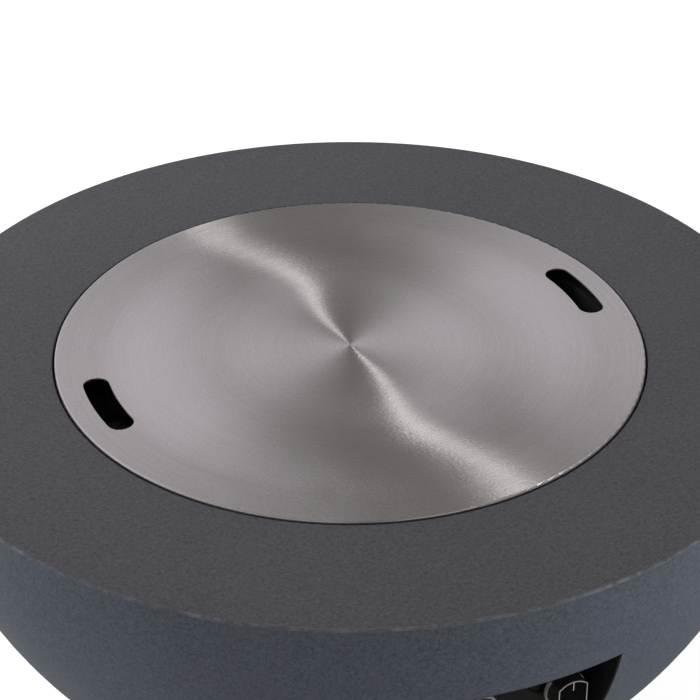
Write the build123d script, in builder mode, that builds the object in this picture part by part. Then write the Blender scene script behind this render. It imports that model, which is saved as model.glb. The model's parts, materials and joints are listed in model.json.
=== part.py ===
from build123d import *
import math
import os
import random

os.makedirs("parts", exist_ok=True)

# Round gas fire pit: a half-sphere bowl with a flat rim, a burner pan let into the rim under a lid, and a
# control box let into the bowl's side. Millimetres, +Z up, the controls face -Y, and the origin is on the
# ground under the bowl's centre.

# Bowl
RIM_RADIUS = 375.0
RIM_TOP = 320.0
RIM_SLAB = 28.0
RIM_SLAB_INSET = 6.0
RIM_EDGE_RADIUS = 1.4
RECESS_EDGE_CHAMFER = 0.6
SHELL_WALL = 16.0
FOOT_HEIGHT = 6.0
BASE_RING_HEIGHT = 25.0
BASE_RING_WIDTH = 85.0
BASE_EDGE_CHAMFER = 2.0
LEDGE_FLANGE = 8.0
LEDGE_FLANGE_WIDTH = 34.0
HOSE_NOTCH_WIDTH = 26.0
HOSE_NOTCH_HEIGHT = 18.0

# Feet
FOOT_COUNT = 4
FOOT_START_ANGLE = 45.0
FOOT_INSET = 40.0
FOOT_RADIUS = 20.0
FOOT_COUNTERBORE_RADIUS = 6.0
FOOT_COUNTERBORE_DEPTH = 3.6
FOOT_SCREW_RADIUS = 2.5
FOOT_SCREW_HOLE_DEPTH = 18.0
FOOT_SCREW_END_GAP = 1.0

# Lid
LID_RADIUS = 249.0
LID_SHEET = 1.5
LID_DEPTH = 14.0
LID_PROUD = 1.5
LID_BEND = 1.7
LID_GAP = 1.8
SLOT_INSET = 31.0
SLOT_WIDTH = 22.0
SLOT_LENGTH = 80.0
SLOT_CORNER = 10.5

# Burner pan and its seal
PAN_SHEET = 1.5
PAN_LAND = 16.0
PAN_WELL_CLEARANCE = 3.0
PAN_DEPTH = 70.0
PAN_CORNER = 12.0
PAN_FLANGE_CLEARANCE = 1.2
SEAL_THICKNESS = 2.0
PAN_SCREW_COUNT = 6
PAN_SCREW_START_ANGLE = 30.0
PAN_SCREW_RADIUS = 2.0
PAN_SCREW_LENGTH = 12.0
DRAIN_COUNT = 6
DRAIN_RADIUS = 4.0
DRAIN_CIRCLE_RADIUS = 80.0

# Ring burner
BURNER_RADIUS = 110.0
BURNER_TUBE_RADIUS = 11.0
BURNER_CROSS_RADIUS = 9.0
BURNER_SPIGOT_RADIUS = 12.0
BURNER_WALL = 1.5
BURNER_LIFT = 10.0
PORT_COUNT = 24
PORT_RADIUS = 1.2
PORT_OFFSET = 4.0
SADDLE_COUNT = 4
SADDLE_START_ANGLE = 45.0
SADDLE_FOOT = 40.0
SADDLE_WEB = 10.0
SADDLE_WIDTH = 14.0
SADDLE_SHEET = 1.5
SADDLE_SCREW_OFFSET = 15.0
SADDLE_SCREW_RADIUS = 2.0
SADDLE_SCREW_LENGTH = 8.0

# Gas supply under the pan
LOCKNUT_FLATS = 34.0
LOCKNUT_HEIGHT = 7.0
SPIGOT_BELOW_PAN = 22.0
MIXER_GAP = 1.0
MIXER_LENGTH = 62.0
MIXER_WALL = 2.5
MIXER_THROAT_RADIUS = 8.0
AIR_HOLE_RADIUS = 4.5
AIR_HOLE_HEIGHT = 14.0
JET_BODY_RADIUS = 10.0
JET_BODY_HEIGHT = 26.0
JET_ARM_RADIUS = 7.0
JET_ARM_REACH = 26.0
JET_NOSE_RADIUS = 3.0
JET_NOSE_HEIGHT = 8.0
JET_BORE_RADIUS = 1.0
HOSE_RADIUS = 6.0
HOSE_BORE_RADIUS = 4.0
HOSE_BULGE = 140.0
HOSE_NUT_FLATS = 20.0
HOSE_NUT_LENGTH = 16.0

# Control box and panel
OPENING_WIDTH = 126.0
OPENING_HEIGHT = 96.0
OPENING_TOP_DROP = 82.0
COLLAR_WALL = 16.0
COLLAR_BEHIND_PANEL = 29.0
BOX_CLEARANCE = 0.4
BOX_SHEET = 1.2
BOX_FLANGE = 14.0
BOX_LIP = 9.0
BOX_SET_BACK = 0.6
BOX_SCREW_RADIUS = 2.0
BOX_SCREW_LENGTH = 12.0
BOX_SCREW_SPREAD = 80.0
PANEL_SET_BACK = 58.0
PANEL_SHEET = 1.5
PANEL_CLEARANCE = 0.5
PANEL_SCREW_RADIUS = 1.75
PANEL_SCREW_LENGTH = 8.0
PANEL_SCREW_INSET = 5.0
CONTROL_DROP = 6.0

# Knob
KNOB_OFFSET = 36.0
KNOB_STAND_OFF = 5.0
KNOB_RADIUS = 17.0
KNOB_FLATS = 25.0
KNOB_LENGTH = 15.5
KNOB_BASE = 4.5
KNOB_RING_WIDTH = 3.0
KNOB_RING_WALL = 1.2
TRIM_WIDTH = 0.7
TRIM_DEPTH = 0.8
POINTER_LENGTH = 8.5
POINTER_WIDTH = 0.8
SPINDLE_IN_KNOB = 11.0

# Gas tap
TAP_RADIUS = 15.0
TAP_FLANGE_RADIUS = 16.0
TAP_FLANGE = 4.0
TAP_SCREW_SPREAD = 27.0
TAP_SCREW_RADIUS = 1.5
TAP_SCREW_HEAD_RADIUS = 2.8
TAP_SCREW_LENGTH = 9.0
SPINDLE_RADIUS = 4.0
SPINDLE_FLAT = 3.0
BEARING_LENGTH = 9.5
SPRING_ROOM_RADIUS = 8.0
SPRING_ROOM_LENGTH = 22.0
COLLAR_RADIUS = 7.0
COLLAR_THICKNESS = 3.0
NOSE_RADIUS = 2.5
NOSE_LENGTH = 12.7
PUSH_ROD_RADIUS = 1.5
PUSH_ROD_LENGTH = 16.8
PUSH_ROD_BORE_LENGTH = 14.0
MAGNET_RADIUS = 8.0
MAGNET_SOCKET = 14.5
MAGNET_SPIGOT = 12.5
MAGNET_FLATS = 20.0
MAGNET_HEAD = 9.0
MAGNET_TAIL_RADIUS = 5.0
MAGNET_TAIL = 12.0
OUTLET_RADIUS = 9.0
OUTLET_REACH = 24.0
OUTLET_FROM_REAR = 13.0
OUTLET_BORE_RADIUS = 3.5
INLET_DROP = 27.0
INLET_RADIUS = 10.0
INLET_FROM_REAR = 3.0
INLET_LENGTH = 32.0
INLET_WEB = 14.0
NIPPLE_RADIUS = 6.58
NIPPLE_LENGTH = 14.0
NIPPLE_FLATS = 17.0
NIPPLE_HEAD = 6.0
NIPPLE_BORE_RADIUS = 3.5
SPINDLE_COIL_RADIUS = 5.2
SPINDLE_WIRE_RADIUS = 0.6
SPINDLE_COIL_TURNS = 6

# Igniter
IGNITER_OFFSET = 36.0
BARREL_RADIUS = 11.5
BARREL_LENGTH = 65.0
BARREL_END_WALL = 4.0
BARREL_FLANGE_RADIUS = 15.0
BARREL_FLANGE = 2.0
BUTTON_BORE_DEPTH = 17.0
BUTTON_RADIUS = 10.2
BUTTON_LENGTH = 14.5
BUTTON_PROUD = 5.5
BUTTON_EDGE_RADIUS = 2.0
BEZEL_RADIUS = 15.5
BEZEL_DEPTH = 3.5
BEZEL_EDGE_RADIUS = 1.2
BARREL_NUT_SIDES = 12
BARREL_NUT_RADIUS = 16.0
BARREL_NUT_DEPTH = 6.0
BATTERY_RADIUS = 5.2
BATTERY_LENGTH = 43.4
BATTERY_TIP_RADIUS = 1.9
BATTERY_TIP_LENGTH = 0.8
TERMINAL_WIDTH = 6.3
TERMINAL_SHEET = 0.8
TERMINAL_LENGTH = 9.0
BUTTON_COIL_RADIUS = 8.2
BUTTON_WIRE_RADIUS = 0.5
BUTTON_COIL_TURNS = 4

# Spark electrode and thermocouple beside the burner
SENSOR_SPREAD = 24.0
SENSOR_GAP = 14.0
SHELF_HEIGHT = 12.5
BRACKET_WIDTH = 48.0
BRACKET_SHEET = 1.5
BRACKET_REACH = 11.0
BRACKET_SETBACK = 15.0
BRACKET_FOOT = 16.0
SENSOR_SCREW_SPREAD = 28.0
SENSOR_SCREW_RADIUS = 2.0
SENSOR_SCREW_LENGTH = 10.0
CERAMIC_RADIUS = 3.5
CERAMIC_BELOW_SHELF = 22.0
CERAMIC_ABOVE_SHELF = 11.5
CERAMIC_FLANGE_RADIUS = 5.5
CERAMIC_FLANGE = 2.0
WIRE_RADIUS = 0.9
WIRE_BELOW_CERAMIC = 6.0
WIRE_RISE = 9.0
WIRE_REACH = 8.0
WIRE_BEND = 4.0
PROBE_RADIUS = 2.5
PROBE_BELOW_SHELF = 18.0
PROBE_ABOVE_SHELF = 21.5
PROBE_COLLAR_RADIUS = 5.0
PROBE_COLLAR = 3.5
SENSOR_HOLE_RADIUS = 6.0
GUARD_WIDTH = 64.0
GUARD_DEPTH = 38.0
GUARD_HEIGHT = 45.0
GUARD_SHEET = 1.0
GUARD_SLOT_WIDTH = 4.0
GUARD_SLOT_HEIGHT = 24.0
GUARD_SLOT_PITCH = 10.0
GUARD_SLOT_RAISE = 4.0
GUARD_FRONT_SLOT_COUNT = 5
GUARD_SIDE_SLOT_COUNT = 3
GUARD_PLATE_MARGIN = 6.0
LEAD_RADIUS = 1.5
PROBE_LEAD_RADIUS = 1.2
PROBE_NUT_FLATS = 11.0
PROBE_NUT_LENGTH = 8.0

# Lava stones
STONE_SEED = 7
STONE_CORNERS = 7
STONE_REST_GAP = 0.3
STONE_SPACING = 1.5
STONE_HEIGHT_RATIO_SPREAD = 0.09
FLOOR_STONE_HEIGHT = 45.0
TOP_STONE_HEIGHT = 23.5
OUTER_STONE_COUNT = 27
MIDDLE_STONE_COUNT = 20
BURNER_STONE_COUNT = 14
CROSS_STONE_COUNT = 6
CORNER_STONE_COUNT = 4

# Pan-head screws, as ratios to the shank's radius
SCREW_HEAD_RATIO = 1.9
SCREW_HEAD_HEIGHT_RATIO = 1.2
SCREW_HEAD_EDGE_RATIO = 0.5
SCREW_CROSS_RATIO = 2.2
SCREW_CROSS_WIDTH_RATIO = 0.45
SCREW_CROSS_DEPTH_RATIO = 0.6

# Fits
RUNNING_FIT = 0.05
SCREW_FIT = 0.05
SLIP_FIT = 0.15
TUBE_FIT = 0.3
BUTTON_FIT = 0.1

# Levels worked out from the sizes above
base_radius = math.sqrt(RIM_RADIUS**2 - (RIM_TOP - FOOT_HEIGHT) ** 2)
base_hole_radius = base_radius - BASE_RING_WIDTH
base_ring_top = FOOT_HEIGHT + BASE_RING_HEIGHT
foot_circle = base_radius - FOOT_INSET
slab_under = RIM_TOP - RIM_SLAB
slab_radius = RIM_RADIUS - RIM_SLAB_INSET
slab_under_radius = math.sqrt((RIM_RADIUS - SHELL_WALL) ** 2 - RIM_SLAB**2)
recess_radius = LID_RADIUS + LID_GAP
slot_circle = LID_RADIUS - SLOT_INSET
lid_top = RIM_TOP + LID_PROUD
lid_seat = lid_top - LID_DEPTH
pan_flange_under = lid_seat - PAN_SHEET
ledge_level = pan_flange_under - SEAL_THICKNESS
pan_well_radius = LID_RADIUS - PAN_LAND
ledge_radius = pan_well_radius + PAN_WELL_CLEARANCE
pan_flange_radius = recess_radius - PAN_FLANGE_CLEARANCE
pan_inner_radius = pan_well_radius - PAN_SHEET
pan_floor = lid_seat - PAN_DEPTH
pan_under = pan_floor - PAN_SHEET
pan_screw_circle = (ledge_radius + LID_RADIUS - LID_SHEET) / 2
burner_level = pan_floor + BURNER_LIFT + BURNER_TUBE_RADIUS
spigot_end = pan_under - SPIGOT_BELOW_PAN
mixer_top = pan_under - LOCKNUT_HEIGHT - MIXER_GAP
mixer_end = mixer_top - MIXER_LENGTH
mixer_radius = BURNER_SPIGOT_RADIUS + MIXER_WALL
jet_level = mixer_end - JET_BODY_HEIGHT / 2
control_level = RIM_TOP - OPENING_TOP_DROP - OPENING_HEIGHT / 2
axis_level = control_level - CONTROL_DROP
panel_distance = RIM_RADIUS - PANEL_SET_BACK
panel_back = PANEL_SHEET - panel_distance
collar_back = panel_distance - COLLAR_BEHIND_PANEL
collar_depth = RIM_RADIUS - collar_back
box_width = OPENING_WIDTH - 2 * BOX_CLEARANCE
box_height = OPENING_HEIGHT - 2 * BOX_CLEARANCE
tap_length = BEARING_LENGTH + SPRING_ROOM_LENGTH + PUSH_ROD_BORE_LENGTH + MAGNET_SOCKET
tap_rear = panel_back + tap_length
knob_back = -panel_distance - KNOB_STAND_OFF
knob_front = knob_back - KNOB_LENGTH
knob_base_radius = KNOB_RADIUS - KNOB_RING_WALL
barrel_rear = -panel_distance + BARREL_LENGTH
button_back = -panel_distance - BARREL_FLANGE - BEZEL_DEPTH - BUTTON_PROUD + BUTTON_LENGTH
button_shoulder = -panel_distance - BARREL_FLANGE + BUTTON_BORE_DEPTH
sensor_y = -(BURNER_RADIUS + BURNER_TUBE_RADIUS + SENSOR_GAP)
shelf_top = pan_floor + SHELF_HEIGHT + BRACKET_SHEET


# A plane at (x, y, z) that faces -Y, with its own x along X and its own y along Z
def facing_front(x, y, z):
    return Plane(origin=(x, y, z), x_dir=(1, 0, 0), z_dir=(0, -1, 0))


# Angle below the rim plane at which a sphere round the rim's centre reaches a level
def angle_below_rim(radius, level):
    return math.degrees(math.asin((RIM_TOP - level) / radius))


# A screw whose head stands on the seat plane, with its shank going down from it
def pan_head_screw(seat, shank_radius, length):
    with BuildPart() as screw:
        with BuildSketch(seat):
            Circle(SCREW_HEAD_RATIO * shank_radius)
        extrude(amount=SCREW_HEAD_HEIGHT_RATIO * shank_radius)
        head_edge = screw.edges().filter_by(GeomType.CIRCLE).sort_by(Axis(seat.origin, seat.z_dir))[-1]
        fillet(head_edge, SCREW_HEAD_EDGE_RATIO * shank_radius)
        with BuildSketch(seat):
            Circle(shank_radius)
        extrude(amount=-length)
        cross_length = SCREW_CROSS_RATIO * shank_radius
        cross_width = SCREW_CROSS_WIDTH_RATIO * shank_radius
        with BuildSketch(seat.offset(SCREW_HEAD_HEIGHT_RATIO * shank_radius)):
            Rectangle(cross_length, cross_width)
            Rectangle(cross_width, cross_length)
        extrude(amount=-SCREW_CROSS_DEPTH_RATIO * shank_radius, mode=Mode.SUBTRACT)
    return screw.part


# A coil spring along Y as one chain of half-turn arcs, which are tangent where they meet
def coil_spring(x, z, front, rear, coil_radius, wire_radius, turns):
    step = (rear - front - 2 * wire_radius) / (2 * turns)
    half_chord = math.hypot(coil_radius, step / 2)
    with BuildPart() as spring:
        with BuildLine() as path:
            for half_turn in range(2 * turns):
                side = 1 if half_turn % 2 == 0 else -1
                start_y = front + wire_radius + half_turn * step
                ThreePointArc(
                    (x + side * coil_radius, start_y, z),
                    (x, start_y + step / 2, z + side * half_chord),
                    (x - side * coil_radius, start_y + step, z),
                )
        with BuildSketch(Plane(origin=path.line @ 0, z_dir=path.line % 0)):
            Circle(wire_radius)
        sweep()
    print(f"coil gap {2 * step - 2 * wire_radius:.2f} mm")
    return spring.part


# A round lead or hose through the points, with each arc as large as its two runs allow
def routed_tube(name, points, radius, bore_radius=0.0):
    route = [Vector(*point) for point in points]
    radii = []
    for before, corner, after in zip(route, route[1:], route[2:]):
        turn = (corner - before).get_angle(after - corner)
        shorter = min((corner - before).length, (after - corner).length)
        radii.append(0.45 * shorter / math.tan(math.radians(turn / 2)))
    with BuildPart() as tube:
        with BuildLine() as path:
            FilletPolyline(*route, radius=radii)
        with BuildSketch(Plane(origin=path.line @ 0, z_dir=path.line % 0)):
            Circle(radius)
            if bore_radius:
                Circle(bore_radius, mode=Mode.SUBTRACT)
        sweep()
    length = path.wire().length
    volume_ratio = tube.part.volume / (math.pi * (radius**2 - bore_radius**2) * length)
    rounded_radii = [round(value) for value in radii]
    print(f"{name}: radii {rounded_radii}, length {length:.0f}, volume ratio {volume_ratio:.4f}")
    return tube.part


# A point between two others, with its own share of the way along each axis
def part_way(start, finish, x_share, y_share, z_share):
    way = finish - start
    return start + Vector(x_share * way.X, y_share * way.Y, z_share * way.Z)


# A faceted stone: one uneven outline, small at its foot, full at its belly and small at its top
def lava_stone(x, y, floor, radius, height, shape):
    outline = []
    for corner in range(STONE_CORNERS):
        angle = 2 * math.pi * (corner + shape.uniform(-0.25, 0.25)) / STONE_CORNERS
        reach = radius * shape.uniform(0.84, 1.0)
        outline.append((reach * math.cos(angle), reach * math.sin(angle)))
    belly = shape.uniform(0.35, 0.55)
    with BuildPart() as stone:
        for level, scale in ((0.0, 0.62), (belly, 1.0), (1.0, 0.5)):
            with BuildSketch(Plane(origin=(x, y, floor + level * height))):
                Polygon(*[(scale * px, scale * py) for px, py in outline], align=None)
        loft(ruled=True)
    return stone.part


# A ring of stones standing on one level, with none at the front within keep_clear of the middle
def stone_ring(circle, most_radius, floor, height, count, shape, keep_clear=0.0):
    fit_radius = min(most_radius, circle * math.sin(math.pi / count)) - STONE_SPACING / 2
    stones = []
    for number in range(count):
        angle = 2 * math.pi * number / count
        x = circle * math.cos(angle)
        y = circle * math.sin(angle)
        if y < 0 and abs(x) < keep_clear:
            continue
        spread = shape.uniform(-STONE_HEIGHT_RATIO_SPREAD, STONE_HEIGHT_RATIO_SPREAD)
        stones.append(lava_stone(x, y, floor, fit_radius, (1 + spread) * height, shape))
    return stones


# Bowl: collar that the control box is screwed to, kept inside the half sphere
with BuildPart() as collar:
    with BuildSketch(facing_front(0, -collar_back, control_level)):
        Rectangle(OPENING_WIDTH + 2 * COLLAR_WALL, OPENING_HEIGHT + 2 * COLLAR_WALL)
    extrude(amount=collar_depth)
    with Locations((0, 0, RIM_TOP)):
        Sphere(RIM_RADIUS - SHELL_WALL / 2, mode=Mode.INTERSECT)

# Bowl: half-sphere shell with a tapered seat for the rim slab inside its top edge
with BuildPart() as bowl_shell:
    inner_radius = RIM_RADIUS - SHELL_WALL
    outer_low = angle_below_rim(RIM_RADIUS, base_ring_top)
    inner_low = angle_below_rim(inner_radius, base_ring_top)
    inner_high = angle_below_rim(inner_radius, slab_under)
    with BuildSketch(Plane.XZ):
        with BuildLine():
            outside = CenterArc((0, RIM_TOP), RIM_RADIUS, 0, -outer_low)
            inside = CenterArc((0, RIM_TOP), inner_radius, -inner_low, inner_low - inner_high)
            Line(outside @ 1, inside @ 0)
            Polyline(inside @ 1, (slab_radius, RIM_TOP), outside @ 0)
        make_face()
    revolve(axis=Axis.Z)
    top_circles = bowl_shell.edges().filter_by(GeomType.CIRCLE).group_by(Axis.Z)[-1].sort_by(SortBy.RADIUS)
    fillet(top_circles[-1], RIM_EDGE_RADIUS)
    add(collar.part)
    with BuildSketch(facing_front(0, -collar_back, control_level)):
        Rectangle(OPENING_WIDTH, OPENING_HEIGHT)
    extrude(amount=collar_depth, mode=Mode.SUBTRACT)
    with BuildSketch(facing_front(0, -collar_back, control_level)):
        Rectangle(OPENING_WIDTH + 2 * COLLAR_WALL, OPENING_HEIGHT + 2 * COLLAR_WALL)
    extrude(amount=-SHELL_WALL, mode=Mode.SUBTRACT)
    with BuildSketch(facing_front(0, -collar_back, control_level)):
        with GridLocations(box_width + BOX_FLANGE, BOX_SCREW_SPREAD, 2, 2):
            Circle(BOX_SCREW_RADIUS + SCREW_FIT)
    extrude(amount=BOX_SCREW_LENGTH, mode=Mode.SUBTRACT)
bowl_shell.part.label = "bowl_shell"
export_step(bowl_shell.part, "parts/bowl_shell.step")

# Rim slab: ring bored for the lid, bonded into the shell's tapered seat and flush with its top edge
with BuildPart() as rim_slab:
    with BuildSketch(Plane.XZ):
        with BuildLine():
            Polyline(
                (recess_radius, slab_under),
                (slab_under_radius, slab_under),
                (slab_radius, RIM_TOP),
                (recess_radius, RIM_TOP),
                close=True,
            )
        make_face()
    revolve(axis=Axis.Z)
    top_circles = rim_slab.edges().filter_by(GeomType.CIRCLE).group_by(Axis.Z)[-1].sort_by(SortBy.RADIUS)
    chamfer(top_circles[0], RECESS_EDGE_CHAMFER)
rim_slab.part.label = "rim_slab"
export_step(rim_slab.part, "parts/rim_slab.step")

# Pan ledge: ring bonded under the rim slab, which stands up into the bore and carries the pan
with BuildPart() as pan_ledge:
    with BuildSketch(Plane.XZ):
        with BuildLine():
            Polyline(
                (ledge_radius, slab_under - LEDGE_FLANGE),
                (recess_radius + LEDGE_FLANGE_WIDTH, slab_under - LEDGE_FLANGE),
                (recess_radius + LEDGE_FLANGE_WIDTH, slab_under),
                (recess_radius - SLIP_FIT, slab_under),
                (recess_radius - SLIP_FIT, ledge_level),
                (ledge_radius, ledge_level),
                close=True,
            )
        make_face()
    revolve(axis=Axis.Z)
    with BuildSketch(Plane.XY.offset(ledge_level)):
        with PolarLocations(pan_screw_circle, PAN_SCREW_COUNT, start_angle=PAN_SCREW_START_ANGLE):
            Circle(PAN_SCREW_RADIUS + SCREW_FIT)
    extrude(amount=PAN_SHEET - PAN_SCREW_LENGTH, mode=Mode.SUBTRACT)
pan_ledge.part.label = "pan_ledge"
export_step(pan_ledge.part, "parts/pan_ledge.step")

# Base ring: carries the shell on the feet, open in the middle, with a notch at the rear for the supply hose
with BuildPart() as base_ring:
    with BuildSketch(Plane.XZ):
        with BuildLine():
            base_band = outer_low - angle_below_rim(RIM_RADIUS, FOOT_HEIGHT)
            band = CenterArc((0, RIM_TOP), RIM_RADIUS, -outer_low, base_band)
            Polyline(
                band @ 1,
                (base_hole_radius, FOOT_HEIGHT),
                (base_hole_radius, base_ring_top),
                band @ 0,
            )
        make_face()
    revolve(axis=Axis.Z)
    chamfer(base_ring.edges().filter_by(GeomType.CIRCLE).group_by(Axis.Z)[0], BASE_EDGE_CHAMFER)
    with BuildSketch(Plane.XY.offset(FOOT_HEIGHT)):
        with PolarLocations(foot_circle, FOOT_COUNT, start_angle=FOOT_START_ANGLE):
            Circle(FOOT_SCREW_RADIUS + SCREW_FIT)
    extrude(amount=FOOT_SCREW_HOLE_DEPTH, mode=Mode.SUBTRACT)
    with BuildSketch(facing_front(0, RIM_RADIUS, FOOT_HEIGHT)):
        Rectangle(HOSE_NOTCH_WIDTH, HOSE_NOTCH_HEIGHT, align=(Align.CENTER, Align.MIN))
    extrude(amount=RIM_RADIUS - base_hole_radius / 2, mode=Mode.SUBTRACT)
base_ring.part.label = "base_ring"
export_step(base_ring.part, "parts/base_ring.step")

# Feet: rubber pads, each with a sunk hole for its screw
with BuildPart() as rubber_feet:
    with BuildSketch():
        with PolarLocations(foot_circle, FOOT_COUNT, start_angle=FOOT_START_ANGLE):
            Circle(FOOT_RADIUS)
    extrude(amount=FOOT_HEIGHT)
    with BuildSketch():
        with PolarLocations(foot_circle, FOOT_COUNT, start_angle=FOOT_START_ANGLE):
            Circle(FOOT_COUNTERBORE_RADIUS)
    extrude(amount=FOOT_COUNTERBORE_DEPTH, mode=Mode.SUBTRACT)
    with BuildSketch():
        with PolarLocations(foot_circle, FOOT_COUNT, start_angle=FOOT_START_ANGLE):
            Circle(FOOT_SCREW_RADIUS + SCREW_FIT)
    extrude(amount=FOOT_HEIGHT, mode=Mode.SUBTRACT)
rubber_feet.part.label = "rubber_feet"
export_step(rubber_feet.part, "parts/rubber_feet.step")

foot_screw_seats = []
for place in PolarLocations(foot_circle, FOOT_COUNT, start_angle=FOOT_START_ANGLE).local_locations:
    seat_point = (place.position.X, place.position.Y, FOOT_COUNTERBORE_DEPTH)
    foot_screw_seats.append(Plane(origin=seat_point, z_dir=(0, 0, -1)))
foot_screw_length = FOOT_HEIGHT - FOOT_COUNTERBORE_DEPTH + FOOT_SCREW_HOLE_DEPTH - FOOT_SCREW_END_GAP
foot_screw_solids = [pan_head_screw(seat, FOOT_SCREW_RADIUS, foot_screw_length) for seat in foot_screw_seats]
with BuildPart() as foot_screws:
    add(foot_screw_solids)
foot_screws.part.label = "foot_screws"
export_step(foot_screws.part, "parts/foot_screws.step")

# Lid: a dished disc with a turned-down edge and two curved finger slots
with BuildPart() as lid:
    with BuildSketch(Plane.XZ):
        with BuildLine():
            inner_bend = LID_BEND - LID_SHEET
            top_line = Line((0, lid_top), (LID_RADIUS - LID_BEND, lid_top))
            outer_corner = CenterArc((LID_RADIUS - LID_BEND, lid_top - LID_BEND), LID_BEND, 90, -90)
            inner_corner = CenterArc((LID_RADIUS - LID_BEND, lid_top - LID_BEND), inner_bend, 0, 90)
            Polyline(
                outer_corner @ 1,
                (LID_RADIUS, lid_seat),
                (LID_RADIUS - LID_SHEET, lid_seat),
                inner_corner @ 0,
            )
            Polyline(inner_corner @ 1, (0, lid_top - LID_SHEET), (0, lid_top))
        make_face()
    revolve(axis=Axis.Z)
    with BuildSketch(Plane.XY.offset(lid_top)) as slots:
        half_angle = math.degrees(math.asin(SLOT_LENGTH / 2 / slot_circle))
        with BuildLine():
            far = CenterArc((0, 0), slot_circle + SLOT_WIDTH / 2, -half_angle, 2 * half_angle)
            near = CenterArc((0, 0), slot_circle - SLOT_WIDTH / 2, -half_angle, 2 * half_angle)
            Line(far @ 0, near @ 0)
            Line(far @ 1, near @ 1)
        make_face()
        fillet(slots.vertices(), SLOT_CORNER)
        mirror(about=Plane.YZ)
    extrude(amount=-LID_SHEET, mode=Mode.SUBTRACT)
lid.part.label = "lid"
export_step(lid.part, "parts/lid.step")

# Burner pan: pressed well with a flat flange that carries the lid
with BuildPart() as burner_pan:
    with BuildSketch(Plane.XZ):
        with BuildLine():
            corner_centre = (pan_inner_radius - PAN_CORNER, pan_floor + PAN_CORNER)
            inner_corner = CenterArc(corner_centre, PAN_CORNER, 0, -90)
            outer_corner = CenterArc(corner_centre, PAN_CORNER + PAN_SHEET, -90, 90)
            Polyline(inner_corner @ 1, (0, pan_floor), (0, pan_under), outer_corner @ 0)
            Polyline(
                outer_corner @ 1,
                (pan_well_radius, pan_flange_under),
                (pan_flange_radius, pan_flange_under),
                (pan_flange_radius, lid_seat),
                (pan_inner_radius, lid_seat),
                inner_corner @ 0,
            )
        make_face()
    revolve(axis=Axis.Z)
    with BuildSketch(Plane.XY.offset(pan_floor)):
        Circle(BURNER_SPIGOT_RADIUS + TUBE_FIT)
        with PolarLocations(DRAIN_CIRCLE_RADIUS, DRAIN_COUNT):
            Circle(DRAIN_RADIUS)
        with Locations((-SENSOR_SPREAD / 2, sensor_y), (SENSOR_SPREAD / 2, sensor_y)):
            Circle(SENSOR_HOLE_RADIUS)
        with Locations((0, sensor_y - BRACKET_SETBACK - BRACKET_FOOT / 2)):
            with GridLocations(SENSOR_SCREW_SPREAD, 0, 2, 1):
                Circle(SENSOR_SCREW_RADIUS + SCREW_FIT)
        for screw_shift in (-SADDLE_SCREW_OFFSET, SADDLE_SCREW_OFFSET):
            with PolarLocations(BURNER_RADIUS + screw_shift, SADDLE_COUNT, start_angle=SADDLE_START_ANGLE):
                Circle(SADDLE_SCREW_RADIUS + SCREW_FIT)
    extrude(amount=-PAN_SHEET, mode=Mode.SUBTRACT)
    with BuildSketch(Plane.XY.offset(lid_seat)):
        with PolarLocations(pan_screw_circle, PAN_SCREW_COUNT, start_angle=PAN_SCREW_START_ANGLE):
            Circle(PAN_SCREW_RADIUS + SCREW_FIT)
    extrude(amount=-PAN_SHEET, mode=Mode.SUBTRACT)
burner_pan.part.label = "burner_pan"
export_step(burner_pan.part, "parts/burner_pan.step")

# Pan seal: flat fibre ring between the pan's flange and the bowl's ledge
with BuildPart() as pan_seal:
    with BuildSketch(Plane.XY.offset(ledge_level)):
        Circle(pan_flange_radius)
        Circle(ledge_radius, mode=Mode.SUBTRACT)
        with PolarLocations(pan_screw_circle, PAN_SCREW_COUNT, start_angle=PAN_SCREW_START_ANGLE):
            Circle(PAN_SCREW_RADIUS + SCREW_FIT, mode=Mode.SUBTRACT)
    extrude(amount=SEAL_THICKNESS)
pan_seal.part.label = "pan_seal"
export_step(pan_seal.part, "parts/pan_seal.step")

pan_screw_seats = []
pan_screw_ring = PolarLocations(pan_screw_circle, PAN_SCREW_COUNT, start_angle=PAN_SCREW_START_ANGLE)
for place in pan_screw_ring.local_locations:
    pan_screw_seats.append(Plane(origin=(place.position.X, place.position.Y, lid_seat)))
pan_screw_solids = [pan_head_screw(seat, PAN_SCREW_RADIUS, PAN_SCREW_LENGTH) for seat in pan_screw_seats]
with BuildPart() as pan_screws:
    add(pan_screw_solids)
pan_screws.part.label = "pan_screws"
export_step(pan_screws.part, "parts/pan_screws.step")

# Ring burner: half of the hollow ring and of its cross tube, with two rows of gas ports
with BuildPart() as burner_half:
    with BuildSketch(Plane.YZ):
        with Locations((-BURNER_RADIUS, burner_level)):
            Circle(BURNER_TUBE_RADIUS)
    revolve(axis=Axis.Z, revolution_arc=180)
    with BuildSketch(Plane.YZ):
        with Locations((0, burner_level)):
            Circle(BURNER_CROSS_RADIUS)
    extrude(amount=BURNER_RADIUS)
    with BuildSketch(Plane.YZ):
        with Locations((-BURNER_RADIUS, burner_level)):
            Circle(BURNER_TUBE_RADIUS - BURNER_WALL)
    revolve(axis=Axis.Z, revolution_arc=180, mode=Mode.SUBTRACT)
    with BuildSketch(Plane.YZ):
        with Locations((0, burner_level)):
            Circle(BURNER_CROSS_RADIUS - BURNER_WALL)
    extrude(amount=BURNER_RADIUS, mode=Mode.SUBTRACT)
    with BuildSketch(Plane.XY.offset(burner_level + BURNER_TUBE_RADIUS / 2)):
        with PolarLocations(BURNER_RADIUS - PORT_OFFSET, PORT_COUNT, start_angle=90 / PORT_COUNT):
            Circle(PORT_RADIUS)
        with PolarLocations(BURNER_RADIUS + PORT_OFFSET, PORT_COUNT, start_angle=270 / PORT_COUNT):
            Circle(PORT_RADIUS)
    extrude(amount=BURNER_TUBE_RADIUS, mode=Mode.SUBTRACT)
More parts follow.
